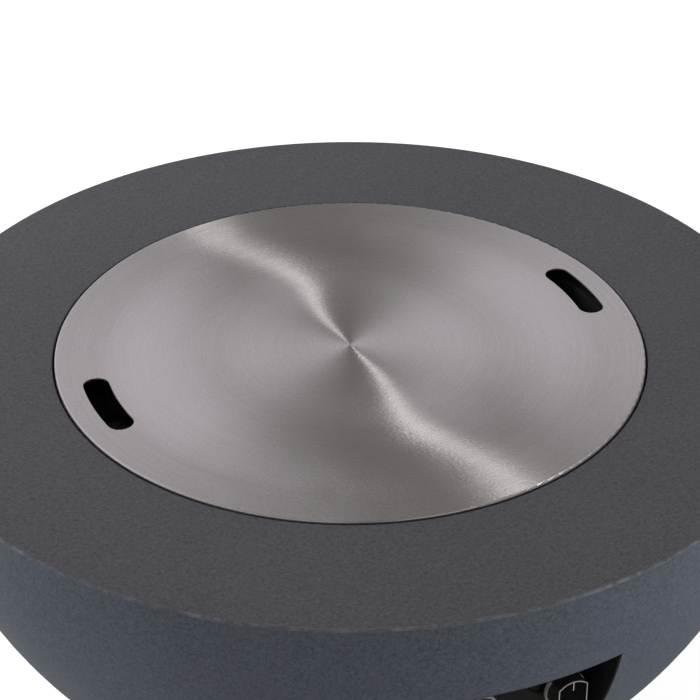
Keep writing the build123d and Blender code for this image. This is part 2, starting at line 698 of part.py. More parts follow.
burner_other_half = mirror(burner_half.part, about=Plane.YZ)

# Ring burner: both halves as one piece, with a spigot down through the pan
with BuildPart() as ring_burner:
    add(burner_half.part, clean=False)
    add(burner_other_half, clean=False)
    with BuildSketch(Plane.XY.offset(spigot_end)):
        Circle(BURNER_SPIGOT_RADIUS)
    extrude(amount=burner_level - spigot_end, clean=False)
    with BuildSketch(Plane.YZ):
        with Locations((0, burner_level)):
            Circle(BURNER_CROSS_RADIUS - BURNER_WALL)
    extrude(amount=BURNER_RADIUS / 2, both=True, mode=Mode.SUBTRACT, clean=False)
    with BuildSketch(Plane.XY.offset(spigot_end)):
        Circle(BURNER_CROSS_RADIUS - 2 * BURNER_WALL)
    extrude(amount=burner_level - spigot_end, mode=Mode.SUBTRACT, clean=False)
ring_burner.part.label = "ring_burner"
export_step(ring_burner.part, "parts/ring_burner.step")

# Saddles that the ring burner stands on, each with a foot on the pan's floor
with BuildPart() as burner_saddles:
    for place in PolarLocations(BURNER_RADIUS, SADDLE_COUNT, start_angle=SADDLE_START_ANGLE).local_locations:
        outward = Vector(place.position.X, place.position.Y, 0).normalized()
        saddle_origin = (place.position.X, place.position.Y, pan_floor)
        with BuildSketch(Plane(origin=saddle_origin, x_dir=outward, z_dir=outward.rotate(Axis.Z, -90))):
            Rectangle(SADDLE_FOOT, SADDLE_SHEET, align=(Align.CENTER, Align.MIN))
            Rectangle(SADDLE_WEB, BURNER_LIFT + SADDLE_SHEET, align=(Align.CENTER, Align.MIN))
            with Locations((0, BURNER_LIFT + BURNER_TUBE_RADIUS)):
                Circle(BURNER_TUBE_RADIUS + SLIP_FIT, mode=Mode.SUBTRACT)
        extrude(amount=SADDLE_WIDTH / 2, both=True)
    with BuildSketch(Plane.XY.offset(pan_floor)):
        for screw_shift in (-SADDLE_SCREW_OFFSET, SADDLE_SCREW_OFFSET):
            with PolarLocations(BURNER_RADIUS + screw_shift, SADDLE_COUNT, start_angle=SADDLE_START_ANGLE):
                Circle(SADDLE_SCREW_RADIUS + SCREW_FIT)
    extrude(amount=SADDLE_SHEET, mode=Mode.SUBTRACT)
burner_saddles.part.label = "burner_saddles"
export_step(burner_saddles.part, "parts/burner_saddles.step")

saddle_screw_solids = []
for screw_shift in (-SADDLE_SCREW_OFFSET, SADDLE_SCREW_OFFSET):
    saddle_ring = PolarLocations(BURNER_RADIUS + screw_shift, SADDLE_COUNT, start_angle=SADDLE_START_ANGLE)
    for place in saddle_ring.local_locations:
        seat = Plane(origin=(place.position.X, place.position.Y, pan_floor + SADDLE_SHEET))
        saddle_screw_solids.append(pan_head_screw(seat, SADDLE_SCREW_RADIUS, SADDLE_SCREW_LENGTH))
with BuildPart() as saddle_screws:
    add(saddle_screw_solids)
saddle_screws.part.label = "saddle_screws"
export_step(saddle_screws.part, "parts/saddle_screws.step")

# Locknut that draws the burner's spigot down through the pan's floor
with BuildPart() as burner_locknut:
    with BuildSketch(Plane.XY.offset(pan_under)):
        RegularPolygon(LOCKNUT_FLATS / 2, 6, major_radius=False)
        Circle(BURNER_SPIGOT_RADIUS + SCREW_FIT, mode=Mode.SUBTRACT)
    extrude(amount=-LOCKNUT_HEIGHT)
burner_locknut.part.label = "burner_locknut"
export_step(burner_locknut.part, "parts/burner_locknut.step")

# Mixer tube: socket for the spigot, throat, and air holes above the jet
with BuildPart() as mixer_tube:
    with BuildSketch(Plane.XY.offset(mixer_end)):
        Circle(mixer_radius)
    extrude(amount=MIXER_LENGTH)
    with BuildSketch(Plane.XY.offset(mixer_end)):
        Circle(MIXER_THROAT_RADIUS)
    extrude(amount=MIXER_LENGTH, mode=Mode.SUBTRACT)
    with BuildSketch(Plane.XY.offset(mixer_top)):
        Circle(BURNER_SPIGOT_RADIUS + SCREW_FIT)
    extrude(amount=spigot_end - mixer_top, mode=Mode.SUBTRACT)
    for across in (Plane.XZ, Plane.YZ):
        with BuildSketch(across):
            with Locations((0, mixer_end + AIR_HOLE_HEIGHT)):
                Circle(AIR_HOLE_RADIUS)
        extrude(amount=mixer_radius, both=True, mode=Mode.SUBTRACT)
mixer_tube.part.label = "mixer_tube"
export_step(mixer_tube.part, "parts/mixer_tube.step")

# Jet elbow: screwed under the mixer tube, with its nose inside and its arm towards +X
with BuildPart() as gas_jet:
    with BuildSketch(Plane.XY.offset(mixer_end)):
        Circle(JET_BODY_RADIUS)
    extrude(amount=-JET_BODY_HEIGHT)
    with BuildSketch(Plane.XY.offset(mixer_end)):
        Circle(JET_NOSE_RADIUS)
    extrude(amount=JET_NOSE_HEIGHT)
    with BuildSketch(Plane.YZ):
        with Locations((0, jet_level)):
            Circle(JET_ARM_RADIUS)
    extrude(amount=JET_ARM_REACH)
    with BuildSketch(Plane.YZ):
        with Locations((0, jet_level)):
            Circle(HOSE_BORE_RADIUS)
    extrude(amount=JET_ARM_REACH, mode=Mode.SUBTRACT)
    with BuildSketch(Plane.XY.offset(mixer_end + JET_NOSE_HEIGHT)):
        Circle(JET_BORE_RADIUS)
    extrude(amount=jet_level - mixer_end - JET_NOSE_HEIGHT, mode=Mode.SUBTRACT)
gas_jet.part.label = "gas_jet"
export_step(gas_jet.part, "parts/gas_jet.step")

# Gas hose from the tap's outlet round to the jet elbow, with a nut at each end
outlet_y = tap_rear - OUTLET_FROM_REAR
outlet_end = KNOB_OFFSET + OUTLET_REACH
hose_start = Vector(outlet_end + HOSE_NUT_LENGTH, outlet_y, axis_level)
hose_end = Vector(JET_ARM_REACH + HOSE_NUT_LENGTH, 0, jet_level)
hose_run = hose_end.Y - hose_start.Y
hose_drop = hose_end.Z - hose_start.Z
hose_route = [
    hose_start,
    hose_start + Vector(0.37 * HOSE_BULGE, 0, 0),
    hose_start + Vector(0.71 * HOSE_BULGE, 0.11 * hose_run, 0.10 * hose_drop),
    hose_start + Vector(0.88 * HOSE_BULGE, 0.31 * hose_run, 0.28 * hose_drop),
    (hose_start + hose_end) / 2 + Vector(HOSE_BULGE, 0.04 * hose_run, 0),
    hose_end + Vector(HOSE_BULGE, -0.24 * hose_run, -0.28 * hose_drop),
    hose_end + Vector(0.74 * HOSE_BULGE, -0.06 * hose_run, -0.08 * hose_drop),
    hose_end + Vector(0.37 * HOSE_BULGE, 0, 0),
    hose_end,
]
gas_hose_solid = routed_tube("gas hose", hose_route, HOSE_RADIUS, HOSE_BORE_RADIUS)
with BuildPart() as gas_hose:
    add(gas_hose_solid)
gas_hose.part.label = "gas_hose"
export_step(gas_hose.part, "parts/gas_hose.step")

with BuildPart() as hose_nuts:
    for nut_start, nut_level, nut_y in ((outlet_end, axis_level, outlet_y), (JET_ARM_REACH, jet_level, 0)):
        with BuildSketch(Plane.YZ.offset(nut_start)):
            with Locations((nut_y, nut_level)):
                RegularPolygon(HOSE_NUT_FLATS / 2, 6, major_radius=False)
                Circle(HOSE_BORE_RADIUS, mode=Mode.SUBTRACT)
        extrude(amount=HOSE_NUT_LENGTH)
hose_nuts.part.label = "hose_nuts"
export_step(hose_nuts.part, "parts/hose_nuts.step")

# Control box: black sleeve trimmed to the half sphere, with a lip for the panel and a flange inside
with BuildPart() as control_box:
    inner_width = box_width - 2 * BOX_SHEET
    inner_height = box_height - 2 * BOX_SHEET
    with BuildSketch(facing_front(0, -collar_back, control_level)):
        Rectangle(box_width, box_height)
        Rectangle(inner_width, inner_height, mode=Mode.SUBTRACT)
    extrude(amount=collar_depth)
    with Locations((0, 0, RIM_TOP)):
        Sphere(RIM_RADIUS - BOX_SET_BACK, mode=Mode.INTERSECT)
    with BuildSketch(facing_front(0, -collar_back, control_level)):
        Rectangle(box_width + 2 * BOX_FLANGE, box_height + 2 * BOX_FLANGE)
        Rectangle(inner_width, inner_height, mode=Mode.SUBTRACT)
        with GridLocations(box_width + BOX_FLANGE, BOX_SCREW_SPREAD, 2, 2):
            Circle(BOX_SCREW_RADIUS + SCREW_FIT, mode=Mode.SUBTRACT)
    extrude(amount=-BOX_SHEET)
    with BuildSketch(facing_front(0, panel_back, control_level)):
        Rectangle(inner_width, inner_height)
        Rectangle(inner_width - 2 * BOX_LIP, inner_height - 2 * BOX_LIP, mode=Mode.SUBTRACT)
        with GridLocations(inner_width - 2 * PANEL_SCREW_INSET, inner_height - 2 * PANEL_SCREW_INSET, 2, 2):
            Circle(PANEL_SCREW_RADIUS + SCREW_FIT, mode=Mode.SUBTRACT)
    extrude(amount=-BOX_SHEET)
control_box.part.label = "control_box"
export_step(control_box.part, "parts/control_box.step")

box_screw_seat = Plane(origin=(0, BOX_SHEET - collar_back, control_level), x_dir=(-1, 0, 0), z_dir=(0, 1, 0))
box_screw_solids = []
for place in GridLocations(box_width + BOX_FLANGE, BOX_SCREW_SPREAD, 2, 2).local_locations:
    seat = Plane(box_screw_seat.from_local_coords(place.position), x_dir=(-1, 0, 0), z_dir=(0, 1, 0))
    box_screw_solids.append(pan_head_screw(seat, BOX_SCREW_RADIUS, BOX_SCREW_LENGTH))
with BuildPart() as control_box_screws:
    add(box_screw_solids)
control_box_screws.part.label = "control_box_screws"
export_step(control_box_screws.part, "parts/control_box_screws.step")

# Control panel: plate with holes for the spindle, the igniter, the tap's screws and its own screws
with BuildPart() as control_panel:
    panel_width = inner_width - 2 * PANEL_CLEARANCE
    panel_height = inner_height - 2 * PANEL_CLEARANCE
    with BuildSketch(facing_front(0, panel_back, control_level)):
        Rectangle(panel_width, panel_height)
        with Locations((KNOB_OFFSET, -CONTROL_DROP)):
            Circle(SPINDLE_RADIUS + TUBE_FIT, mode=Mode.SUBTRACT)
        with Locations((-IGNITER_OFFSET, -CONTROL_DROP)):
            Circle(BARREL_RADIUS + SLIP_FIT, mode=Mode.SUBTRACT)
        with GridLocations(inner_width - 2 * PANEL_SCREW_INSET, inner_height - 2 * PANEL_SCREW_INSET, 2, 2):
            Circle(PANEL_SCREW_RADIUS + SCREW_FIT, mode=Mode.SUBTRACT)
    extrude(amount=PANEL_SHEET)
    with Locations(facing_front(KNOB_OFFSET, -panel_distance, axis_level)):
        with GridLocations(0, TAP_SCREW_SPREAD, 1, 2):
            CounterSinkHole(TAP_SCREW_RADIUS + SCREW_FIT, TAP_SCREW_HEAD_RADIUS + SCREW_FIT, PANEL_SHEET, 90)
control_panel.part.label = "control_panel"
export_step(control_panel.part, "parts/control_panel.step")

panel_screw_solids = []
panel_face = facing_front(0, -panel_distance, control_level)
screw_grid = GridLocations(inner_width - 2 * PANEL_SCREW_INSET, inner_height - 2 * PANEL_SCREW_INSET, 2, 2)
for place in screw_grid.local_locations:
    seat = Plane(panel_face.from_local_coords(place.position), x_dir=(1, 0, 0), z_dir=(0, -1, 0))
    panel_screw_solids.append(pan_head_screw(seat, PANEL_SCREW_RADIUS, PANEL_SCREW_LENGTH))
with BuildPart() as panel_screws:
    add(panel_screw_solids)
panel_screws.part.label = "panel_screws"
export_step(panel_screws.part, "parts/panel_screws.step")

# Gas tap: body with spindle bearing, spring room, push-rod bore, magnet socket, outlet and inlet
with BuildPart() as gas_tap:
    bearing_end = panel_back + BEARING_LENGTH
    room_end = bearing_end + SPRING_ROOM_LENGTH
    rod_bore_end = room_end + PUSH_ROD_BORE_LENGTH
    inlet_level = axis_level - INLET_DROP
    inlet_rear = tap_rear - INLET_FROM_REAR
    with BuildSketch(facing_front(KNOB_OFFSET, tap_rear, axis_level)):
        Circle(TAP_RADIUS)
    extrude(amount=tap_length)
    with BuildSketch(facing_front(KNOB_OFFSET, panel_back + TAP_FLANGE, axis_level)):
        Circle(TAP_FLANGE_RADIUS)
    extrude(amount=TAP_FLANGE)
    with BuildSketch(Plane.YZ.offset(KNOB_OFFSET)):
        with Locations((outlet_y, axis_level)):
            Circle(OUTLET_RADIUS)
    extrude(amount=OUTLET_REACH)
    with BuildSketch(facing_front(KNOB_OFFSET, inlet_rear, inlet_level)):
        Circle(INLET_RADIUS)
        Rectangle(INLET_WEB, INLET_DROP, align=(Align.CENTER, Align.MIN))
    extrude(amount=INLET_LENGTH)
    with BuildSketch(facing_front(KNOB_OFFSET, bearing_end, axis_level)):
        Circle(SPINDLE_RADIUS + RUNNING_FIT)
    extrude(amount=BEARING_LENGTH, mode=Mode.SUBTRACT)
    with BuildSketch(facing_front(KNOB_OFFSET, room_end, axis_level)):
        Circle(SPRING_ROOM_RADIUS)
    extrude(amount=SPRING_ROOM_LENGTH, mode=Mode.SUBTRACT)
    with BuildSketch(facing_front(KNOB_OFFSET, rod_bore_end, axis_level)):
        Circle(PUSH_ROD_RADIUS + RUNNING_FIT)
    extrude(amount=PUSH_ROD_BORE_LENGTH, mode=Mode.SUBTRACT)
    with BuildSketch(facing_front(KNOB_OFFSET, tap_rear, axis_level)):
        Circle(MAGNET_RADIUS + SCREW_FIT)
    extrude(amount=tap_rear - rod_bore_end, mode=Mode.SUBTRACT)
    with BuildSketch(Plane.YZ.offset(KNOB_OFFSET + MAGNET_RADIUS)):
        with Locations((outlet_y, axis_level)):
            Circle(OUTLET_BORE_RADIUS)
    extrude(amount=OUTLET_REACH - MAGNET_RADIUS, mode=Mode.SUBTRACT)
    with BuildSketch(facing_front(KNOB_OFFSET, inlet_rear, inlet_level)):
        Circle(NIPPLE_BORE_RADIUS)
    extrude(amount=INLET_LENGTH - 2 * NIPPLE_BORE_RADIUS, mode=Mode.SUBTRACT)
    with BuildSketch(facing_front(KNOB_OFFSET, panel_back, axis_level)):
        with GridLocations(0, TAP_SCREW_SPREAD, 1, 2):
            Circle(TAP_SCREW_RADIUS + SCREW_FIT)
    extrude(amount=-TAP_SCREW_LENGTH, mode=Mode.SUBTRACT)
gas_tap.part.label = "gas_tap"
export_step(gas_tap.part, "parts/gas_tap.step")

# Countersunk screws that hold the tap to the panel, hidden behind the knob
with BuildPart() as tap_screws:
    tap_face = facing_front(KNOB_OFFSET, -panel_distance, axis_level)
    with BuildSketch(tap_face):
        with GridLocations(0, TAP_SCREW_SPREAD, 1, 2):
            Circle(TAP_SCREW_HEAD_RADIUS)
    extrude(amount=-(TAP_SCREW_HEAD_RADIUS - TAP_SCREW_RADIUS), taper=45)
    with BuildSketch(tap_face):
        with GridLocations(0, TAP_SCREW_SPREAD, 1, 2):
            Circle(TAP_SCREW_RADIUS)
    extrude(amount=-TAP_SCREW_LENGTH)
tap_screws.part.label = "tap_screws"
export_step(tap_screws.part, "parts/tap_screws.step")

# Safety magnet in the tap's rear, with a hexagon head and a threaded tail
with BuildPart() as safety_magnet:
    magnet_tail_end = tap_rear + MAGNET_HEAD + MAGNET_TAIL
    with BuildSketch(facing_front(KNOB_OFFSET, tap_rear, axis_level)):
        Circle(MAGNET_RADIUS)
    extrude(amount=MAGNET_SPIGOT)
    with BuildSketch(facing_front(KNOB_OFFSET, tap_rear + MAGNET_HEAD, axis_level)):
        RegularPolygon(MAGNET_FLATS / 2, 6, major_radius=False)
    extrude(amount=MAGNET_HEAD)
    with BuildSketch(facing_front(KNOB_OFFSET, magnet_tail_end, axis_level)):
        Circle(MAGNET_TAIL_RADIUS)
    extrude(amount=MAGNET_TAIL)
safety_magnet.part.label = "safety_magnet"
export_step(safety_magnet.part, "parts/safety_magnet.step")

# Inlet nipple that the supply hose screws on
with BuildPart() as inlet_nipple:
    nipple_end = inlet_rear + NIPPLE_HEAD + NIPPLE_LENGTH
    with BuildSketch(facing_front(KNOB_OFFSET, inlet_rear + NIPPLE_HEAD, inlet_level)):
        RegularPolygon(NIPPLE_FLATS / 2, 6, major_radius=False)
    extrude(amount=NIPPLE_HEAD)
    with BuildSketch(facing_front(KNOB_OFFSET, nipple_end, inlet_level)):
        Circle(NIPPLE_RADIUS)
    extrude(amount=NIPPLE_LENGTH)
    with BuildSketch(facing_front(KNOB_OFFSET, nipple_end, inlet_level)):
        Circle(NIPPLE_BORE_RADIUS)
    extrude(amount=NIPPLE_LENGTH + NIPPLE_HEAD, mode=Mode.SUBTRACT)
inlet_nipple.part.label = "inlet_nipple"
export_step(inlet_nipple.part, "parts/inlet_nipple.step")

# Spindle: flatted shaft with a collar in the spring room and a nose towards the push rod
with BuildPart() as tap_spindle:
    spindle_front = knob_back - SPINDLE_IN_KNOB
    spindle_collar = bearing_end + TUBE_FIT
    nose_end = spindle_collar + COLLAR_THICKNESS + NOSE_LENGTH
    with BuildSketch(facing_front(KNOB_OFFSET, spindle_collar, axis_level)):
        Circle(SPINDLE_RADIUS)
    extrude(amount=spindle_collar - knob_back)
    with BuildSketch(facing_front(KNOB_OFFSET, knob_back, axis_level)):
        Circle(SPINDLE_RADIUS)
        with Locations((0, SPINDLE_FLAT)):
            Rectangle(2 * SPINDLE_RADIUS, SPINDLE_RADIUS, align=(Align.CENTER, Align.MIN), mode=Mode.SUBTRACT)
    extrude(amount=SPINDLE_IN_KNOB)
    with BuildSketch(facing_front(KNOB_OFFSET, spindle_collar + COLLAR_THICKNESS, axis_level)):
        Circle(COLLAR_RADIUS)
    extrude(amount=COLLAR_THICKNESS)
    with BuildSketch(facing_front(KNOB_OFFSET, nose_end, axis_level)):
        Circle(NOSE_RADIUS)
    extrude(amount=NOSE_LENGTH)
tap_spindle.part.label = "tap_spindle"
export_step(tap_spindle.part, "parts/tap_spindle.step")

spindle_spring_solid = coil_spring(
    KNOB_OFFSET,
    axis_level,
    spindle_collar + COLLAR_THICKNESS + RUNNING_FIT,
    room_end - RUNNING_FIT,
    SPINDLE_COIL_RADIUS,
    SPINDLE_WIRE_RADIUS,
    SPINDLE_COIL_TURNS,
)
with BuildPart() as spindle_spring:
    add(spindle_spring_solid)
spindle_spring.part.label = "spindle_spring"
export_step(spindle_spring.part, "parts/spindle_spring.step")

# Push rod between the spindle's nose and the safety magnet
with BuildPart() as push_rod:
    push_rod_end = nose_end + SLIP_FIT + PUSH_ROD_LENGTH
    with BuildSketch(facing_front(KNOB_OFFSET, push_rod_end, axis_level)):
        Circle(PUSH_ROD_RADIUS)
    extrude(amount=PUSH_ROD_LENGTH)
push_rod.part.label = "push_rod"
export_step(push_rod.part, "parts/push_rod.step")

# Knob outline: a round cut by two upright flats
with BuildSketch() as knob_outline:
    Circle(KNOB_RADIUS)
    Rectangle(KNOB_FLATS, 2 * KNOB_RADIUS, mode=Mode.INTERSECT)
with BuildSketch() as knob_core_outline:
    add(knob_outline.sketch)
    offset(amount=-TRIM_WIDTH, kind=Kind.INTERSECTION, mode=Mode.REPLACE)

# Knob: round base for the bright ring, flatted grip, and a step at the front edge for the bright outline
with BuildPart() as knob:
    with BuildSketch(facing_front(KNOB_OFFSET, knob_back, axis_level)):
        Circle(knob_base_radius)
    extrude(amount=KNOB_BASE)
    with BuildSketch(facing_front(KNOB_OFFSET, knob_back - KNOB_RING_WIDTH, axis_level)):
        add(knob_outline.sketch)
    extrude(amount=KNOB_LENGTH - KNOB_RING_WIDTH - TRIM_DEPTH)
    with BuildSketch(facing_front(KNOB_OFFSET, knob_front + TRIM_DEPTH, axis_level)):
        add(knob_core_outline.sketch)
        with Locations((0, KNOB_RADIUS)):
            pointer_size = (POINTER_WIDTH, POINTER_LENGTH)
            Rectangle(*pointer_size, align=(Align.CENTER, Align.MAX), mode=Mode.SUBTRACT)
    extrude(amount=TRIM_DEPTH)
    with BuildSketch(facing_front(KNOB_OFFSET, knob_back, axis_level)):
        Circle(SPINDLE_RADIUS + RUNNING_FIT)
        with Locations((0, SPINDLE_FLAT + RUNNING_FIT)):
            Rectangle(3 * SPINDLE_RADIUS, SPINDLE_RADIUS, align=(Align.CENTER, Align.MIN), mode=Mode.SUBTRACT)
    extrude(amount=SPINDLE_IN_KNOB + RUNNING_FIT, mode=Mode.SUBTRACT)
knob.part.label = "knob"
export_step(knob.part, "parts/knob.step")

# Bright outline round the knob's face, with the pointer line at its top
with BuildPart() as knob_trim:
    with BuildSketch(facing_front(KNOB_OFFSET, knob_front + TRIM_DEPTH, axis_level)):
        add(knob_outline.sketch)
        add(knob_core_outline.sketch, mode=Mode.SUBTRACT)
        with Locations((0, KNOB_RADIUS - TRIM_WIDTH / 2)):
            pointer_size = (POINTER_WIDTH, POINTER_LENGTH - TRIM_WIDTH / 2)
            Rectangle(*pointer_size, align=(Align.CENTER, Align.MAX))
    extrude(amount=TRIM_DEPTH)
knob_trim.part.label = "knob_trim"
export_step(knob_trim.part, "parts/knob_trim.step")

# Bright ring round the knob's base
with BuildPart() as knob_ring:
    with BuildSketch(facing_front(KNOB_OFFSET, knob_back, axis_level)):
        Circle(KNOB_RADIUS)
        Circle(knob_base_radius, mode=Mode.SUBTRACT)
    extrude(amount=KNOB_RING_WIDTH)
knob_ring.part.label = "knob_ring"
export_step(knob_ring.part, "parts/knob_ring.step")

# Igniter barrel through the panel, with a button bore, a battery bore and a closed rear
with BuildPart() as igniter_barrel:
    barrel_front = -panel_distance - BARREL_FLANGE
    with BuildSketch(facing_front(-IGNITER_OFFSET, barrel_rear, axis_level)):
        Circle(BARREL_RADIUS)
    extrude(amount=BARREL_LENGTH)
    with BuildSketch(facing_front(-IGNITER_OFFSET, -panel_distance, axis_level)):
        Circle(BARREL_FLANGE_RADIUS)
    extrude(amount=BARREL_FLANGE)
    with BuildSketch(facing_front(-IGNITER_OFFSET, button_shoulder, axis_level)):
        Circle(BUTTON_RADIUS + BUTTON_FIT)
    extrude(amount=BUTTON_BORE_DEPTH, mode=Mode.SUBTRACT)
    with BuildSketch(facing_front(-IGNITER_OFFSET, barrel_rear - BARREL_END_WALL, axis_level)):
        Circle(BATTERY_RADIUS + TUBE_FIT)
    extrude(amount=barrel_rear - BARREL_END_WALL - button_shoulder, mode=Mode.SUBTRACT)
igniter_barrel.part.label = "igniter_barrel"
export_step(igniter_barrel.part, "parts/igniter_barrel.step")

# Bright bezel on the barrel's flange
with BuildPart() as igniter_bezel:
    with BuildSketch(facing_front(-IGNITER_OFFSET, barrel_front, axis_level)):
        Circle(BEZEL_RADIUS)
    extrude(amount=BEZEL_DEPTH)
    fillet(igniter_bezel.edges().filter_by(GeomType.CIRCLE).sort_by(Axis.Y)[0], BEZEL_EDGE_RADIUS)
    with BuildSketch(facing_front(-IGNITER_OFFSET, barrel_front, axis_level)):
        Circle(BUTTON_RADIUS + TUBE_FIT)
    extrude(amount=BEZEL_DEPTH, mode=Mode.SUBTRACT)
igniter_bezel.part.label = "igniter_bezel"
export_step(igniter_bezel.part, "parts/igniter_bezel.step")

# Nut that clamps the barrel behind the panel
with BuildPart() as igniter_nut:
    with BuildSketch(facing_front(-IGNITER_OFFSET, panel_back + BARREL_NUT_DEPTH, axis_level)):
        RegularPolygon(BARREL_NUT_RADIUS, BARREL_NUT_SIDES)
        Circle(BARREL_RADIUS + SCREW_FIT, mode=Mode.SUBTRACT)
    extrude(amount=BARREL_NUT_DEPTH)
igniter_nut.part.label = "igniter_nut"
export_step(igniter_nut.part, "parts/igniter_nut.step")

# Igniter button with a rounded front edge
with BuildPart() as igniter_button:
    with BuildSketch(facing_front(-IGNITER_OFFSET, button_back, axis_level)):
        Circle(BUTTON_RADIUS)
    extrude(amount=BUTTON_LENGTH)
    fillet(igniter_button.edges().filter_by(GeomType.CIRCLE).sort_by(Axis.Y)[0], BUTTON_EDGE_RADIUS)
igniter_button.part.label = "igniter_button"
export_step(igniter_button.part, "parts/igniter_button.step")

button_spring_solid = coil_spring(
    -IGNITER_OFFSET,
    axis_level,
    button_back + RUNNING_FIT,
    button_shoulder - RUNNING_FIT,
    BUTTON_COIL_RADIUS,
    BUTTON_WIRE_RADIUS,
    BUTTON_COIL_TURNS,
)
with BuildPart() as button_spring:
    add(button_spring_solid)
button_spring.part.label = "button_spring"
export_step(button_spring.part, "parts/button_spring.step")

# Battery standing on the barrel's closed end
with BuildPart() as battery:
    battery_end = barrel_rear - BARREL_END_WALL
    with BuildSketch(facing_front(-IGNITER_OFFSET, battery_end, axis_level)):
        Circle(BATTERY_RADIUS)
    extrude(amount=BATTERY_LENGTH)
    with BuildSketch(facing_front(-IGNITER_OFFSET, battery_end - BATTERY_LENGTH, axis_level)):
        Circle(BATTERY_TIP_RADIUS)
    extrude(amount=BATTERY_TIP_LENGTH)
battery.part.label = "battery"
export_step(battery.part, "parts/battery.step")

# Spark terminal: flat blade on the barrel's rear
with BuildPart() as igniter_terminal:
    with BuildSketch(facing_front(-IGNITER_OFFSET, barrel_rear + TERMINAL_LENGTH, axis_level)):
        Rectangle(TERMINAL_WIDTH, TERMINAL_SHEET)
    extrude(amount=TERMINAL_LENGTH)
igniter_terminal.part.label = "igniter_terminal"
export_step(igniter_terminal.part, "parts/igniter_terminal.step")

# Guard round the sensors: a three-sided slotted screen on a base plate
with BuildPart() as sensor_guard:
    guard_front = sensor_y - BRACKET_SETBACK - BRACKET_FOOT - GUARD_PLATE_MARGIN
    guard_middle = guard_front + GUARD_DEPTH / 2
    plate_depth = BRACKET_FOOT + GUARD_PLATE_MARGIN
    with BuildSketch(Plane.XY.offset(pan_floor)):
        with Locations((0, guard_front)):
            Rectangle(GUARD_WIDTH, plate_depth, align=(Align.CENTER, Align.MIN))
        with Locations((0, sensor_y - BRACKET_SETBACK - BRACKET_FOOT / 2)):
            with GridLocations(SENSOR_SCREW_SPREAD, 0, 2, 1):
                Circle(SENSOR_SCREW_RADIUS + SCREW_FIT, mode=Mode.SUBTRACT)
    extrude(amount=GUARD_SHEET)
    with BuildSketch(Plane.XY.offset(pan_floor)):
        with Locations((0, guard_front)):
            Rectangle(GUARD_WIDTH, GUARD_DEPTH, align=(Align.CENTER, Align.MIN))
        with Locations((0, guard_front + GUARD_SHEET)):
            inner_guard = (GUARD_WIDTH - 2 * GUARD_SHEET, GUARD_DEPTH)
            Rectangle(*inner_guard, align=(Align.CENTER, Align.MIN), mode=Mode.SUBTRACT)
    extrude(amount=GUARD_HEIGHT)
    guard_slot_level = pan_floor + GUARD_HEIGHT / 2 + GUARD_SLOT_RAISE
    with BuildSketch(facing_front(0, guard_front, guard_slot_level)):
        with GridLocations(GUARD_SLOT_PITCH, 0, GUARD_FRONT_SLOT_COUNT, 1):
            SlotOverall(GUARD_SLOT_HEIGHT, GUARD_SLOT_WIDTH, rotation=90)
    extrude(amount=-GUARD_SHEET, mode=Mode.SUBTRACT)
    with BuildSketch(Plane.YZ.offset(-GUARD_WIDTH / 2)):
        with Locations((guard_middle, guard_slot_level)):
            with GridLocations(GUARD_SLOT_PITCH, 0, GUARD_SIDE_SLOT_COUNT, 1):
                SlotOverall(GUARD_SLOT_HEIGHT, GUARD_SLOT_WIDTH, rotation=90)
    extrude(amount=GUARD_WIDTH, mode=Mode.SUBTRACT)
sensor_guard.part.label = "sensor_guard"
export_step(sensor_guard.part, "parts/sensor_guard.step")

# Bracket: foot on the guard's base plate, riser, and a shelf that holds both sensors
with BuildPart() as sensor_bracket:
    foot_level = pan_floor + GUARD_SHEET
    riser_y = sensor_y - BRACKET_SETBACK
    with BuildSketch(Plane.YZ.offset(-BRACKET_WIDTH / 2)):
        with BuildLine():
            Polyline(
                (riser_y - BRACKET_FOOT, foot_level),
                (riser_y + BRACKET_SHEET, foot_level),
                (riser_y + BRACKET_SHEET, shelf_top - BRACKET_SHEET),
                (sensor_y + BRACKET_REACH, shelf_top - BRACKET_SHEET),
                (sensor_y + BRACKET_REACH, shelf_top),
                (riser_y, shelf_top),
                (riser_y, foot_level + BRACKET_SHEET),
                (riser_y - BRACKET_FOOT, foot_level + BRACKET_SHEET),
                close=True,
            )
        make_face()
    extrude(amount=BRACKET_WIDTH)
    with BuildSketch(Plane.XY.offset(shelf_top)):
        with Locations((-SENSOR_SPREAD / 2, sensor_y)):
            Circle(CERAMIC_RADIUS + SLIP_FIT)
        with Locations((SENSOR_SPREAD / 2, sensor_y)):
            Circle(PROBE_RADIUS + SLIP_FIT)
    extrude(amount=-BRACKET_SHEET, mode=Mode.SUBTRACT)
    with BuildSketch(Plane.XY.offset(foot_level)):
        with Locations((0, riser_y - BRACKET_FOOT / 2)):
            with GridLocations(SENSOR_SCREW_SPREAD, 0, 2, 1):
                Circle(SENSOR_SCREW_RADIUS + SCREW_FIT)
    extrude(amount=BRACKET_SHEET, mode=Mode.SUBTRACT)
sensor_bracket.part.label = "sensor_bracket"
export_step(sensor_bracket.part, "parts/sensor_bracket.step")

sensor_screw_solids = []
for side in (-1, 1):
    seat_point = (side * SENSOR_SCREW_SPREAD / 2, riser_y - BRACKET_FOOT / 2, foot_level + BRACKET_SHEET)
    sensor_screw_solids.append(pan_head_screw(Plane(seat_point), SENSOR_SCREW_RADIUS, SENSOR_SCREW_LENGTH))
with BuildPart() as sensor_screws:
    add(sensor_screw_solids)
sensor_screws.part.label = "sensor_screws"
export_step(sensor_screws.part, "parts/sensor_screws.step")

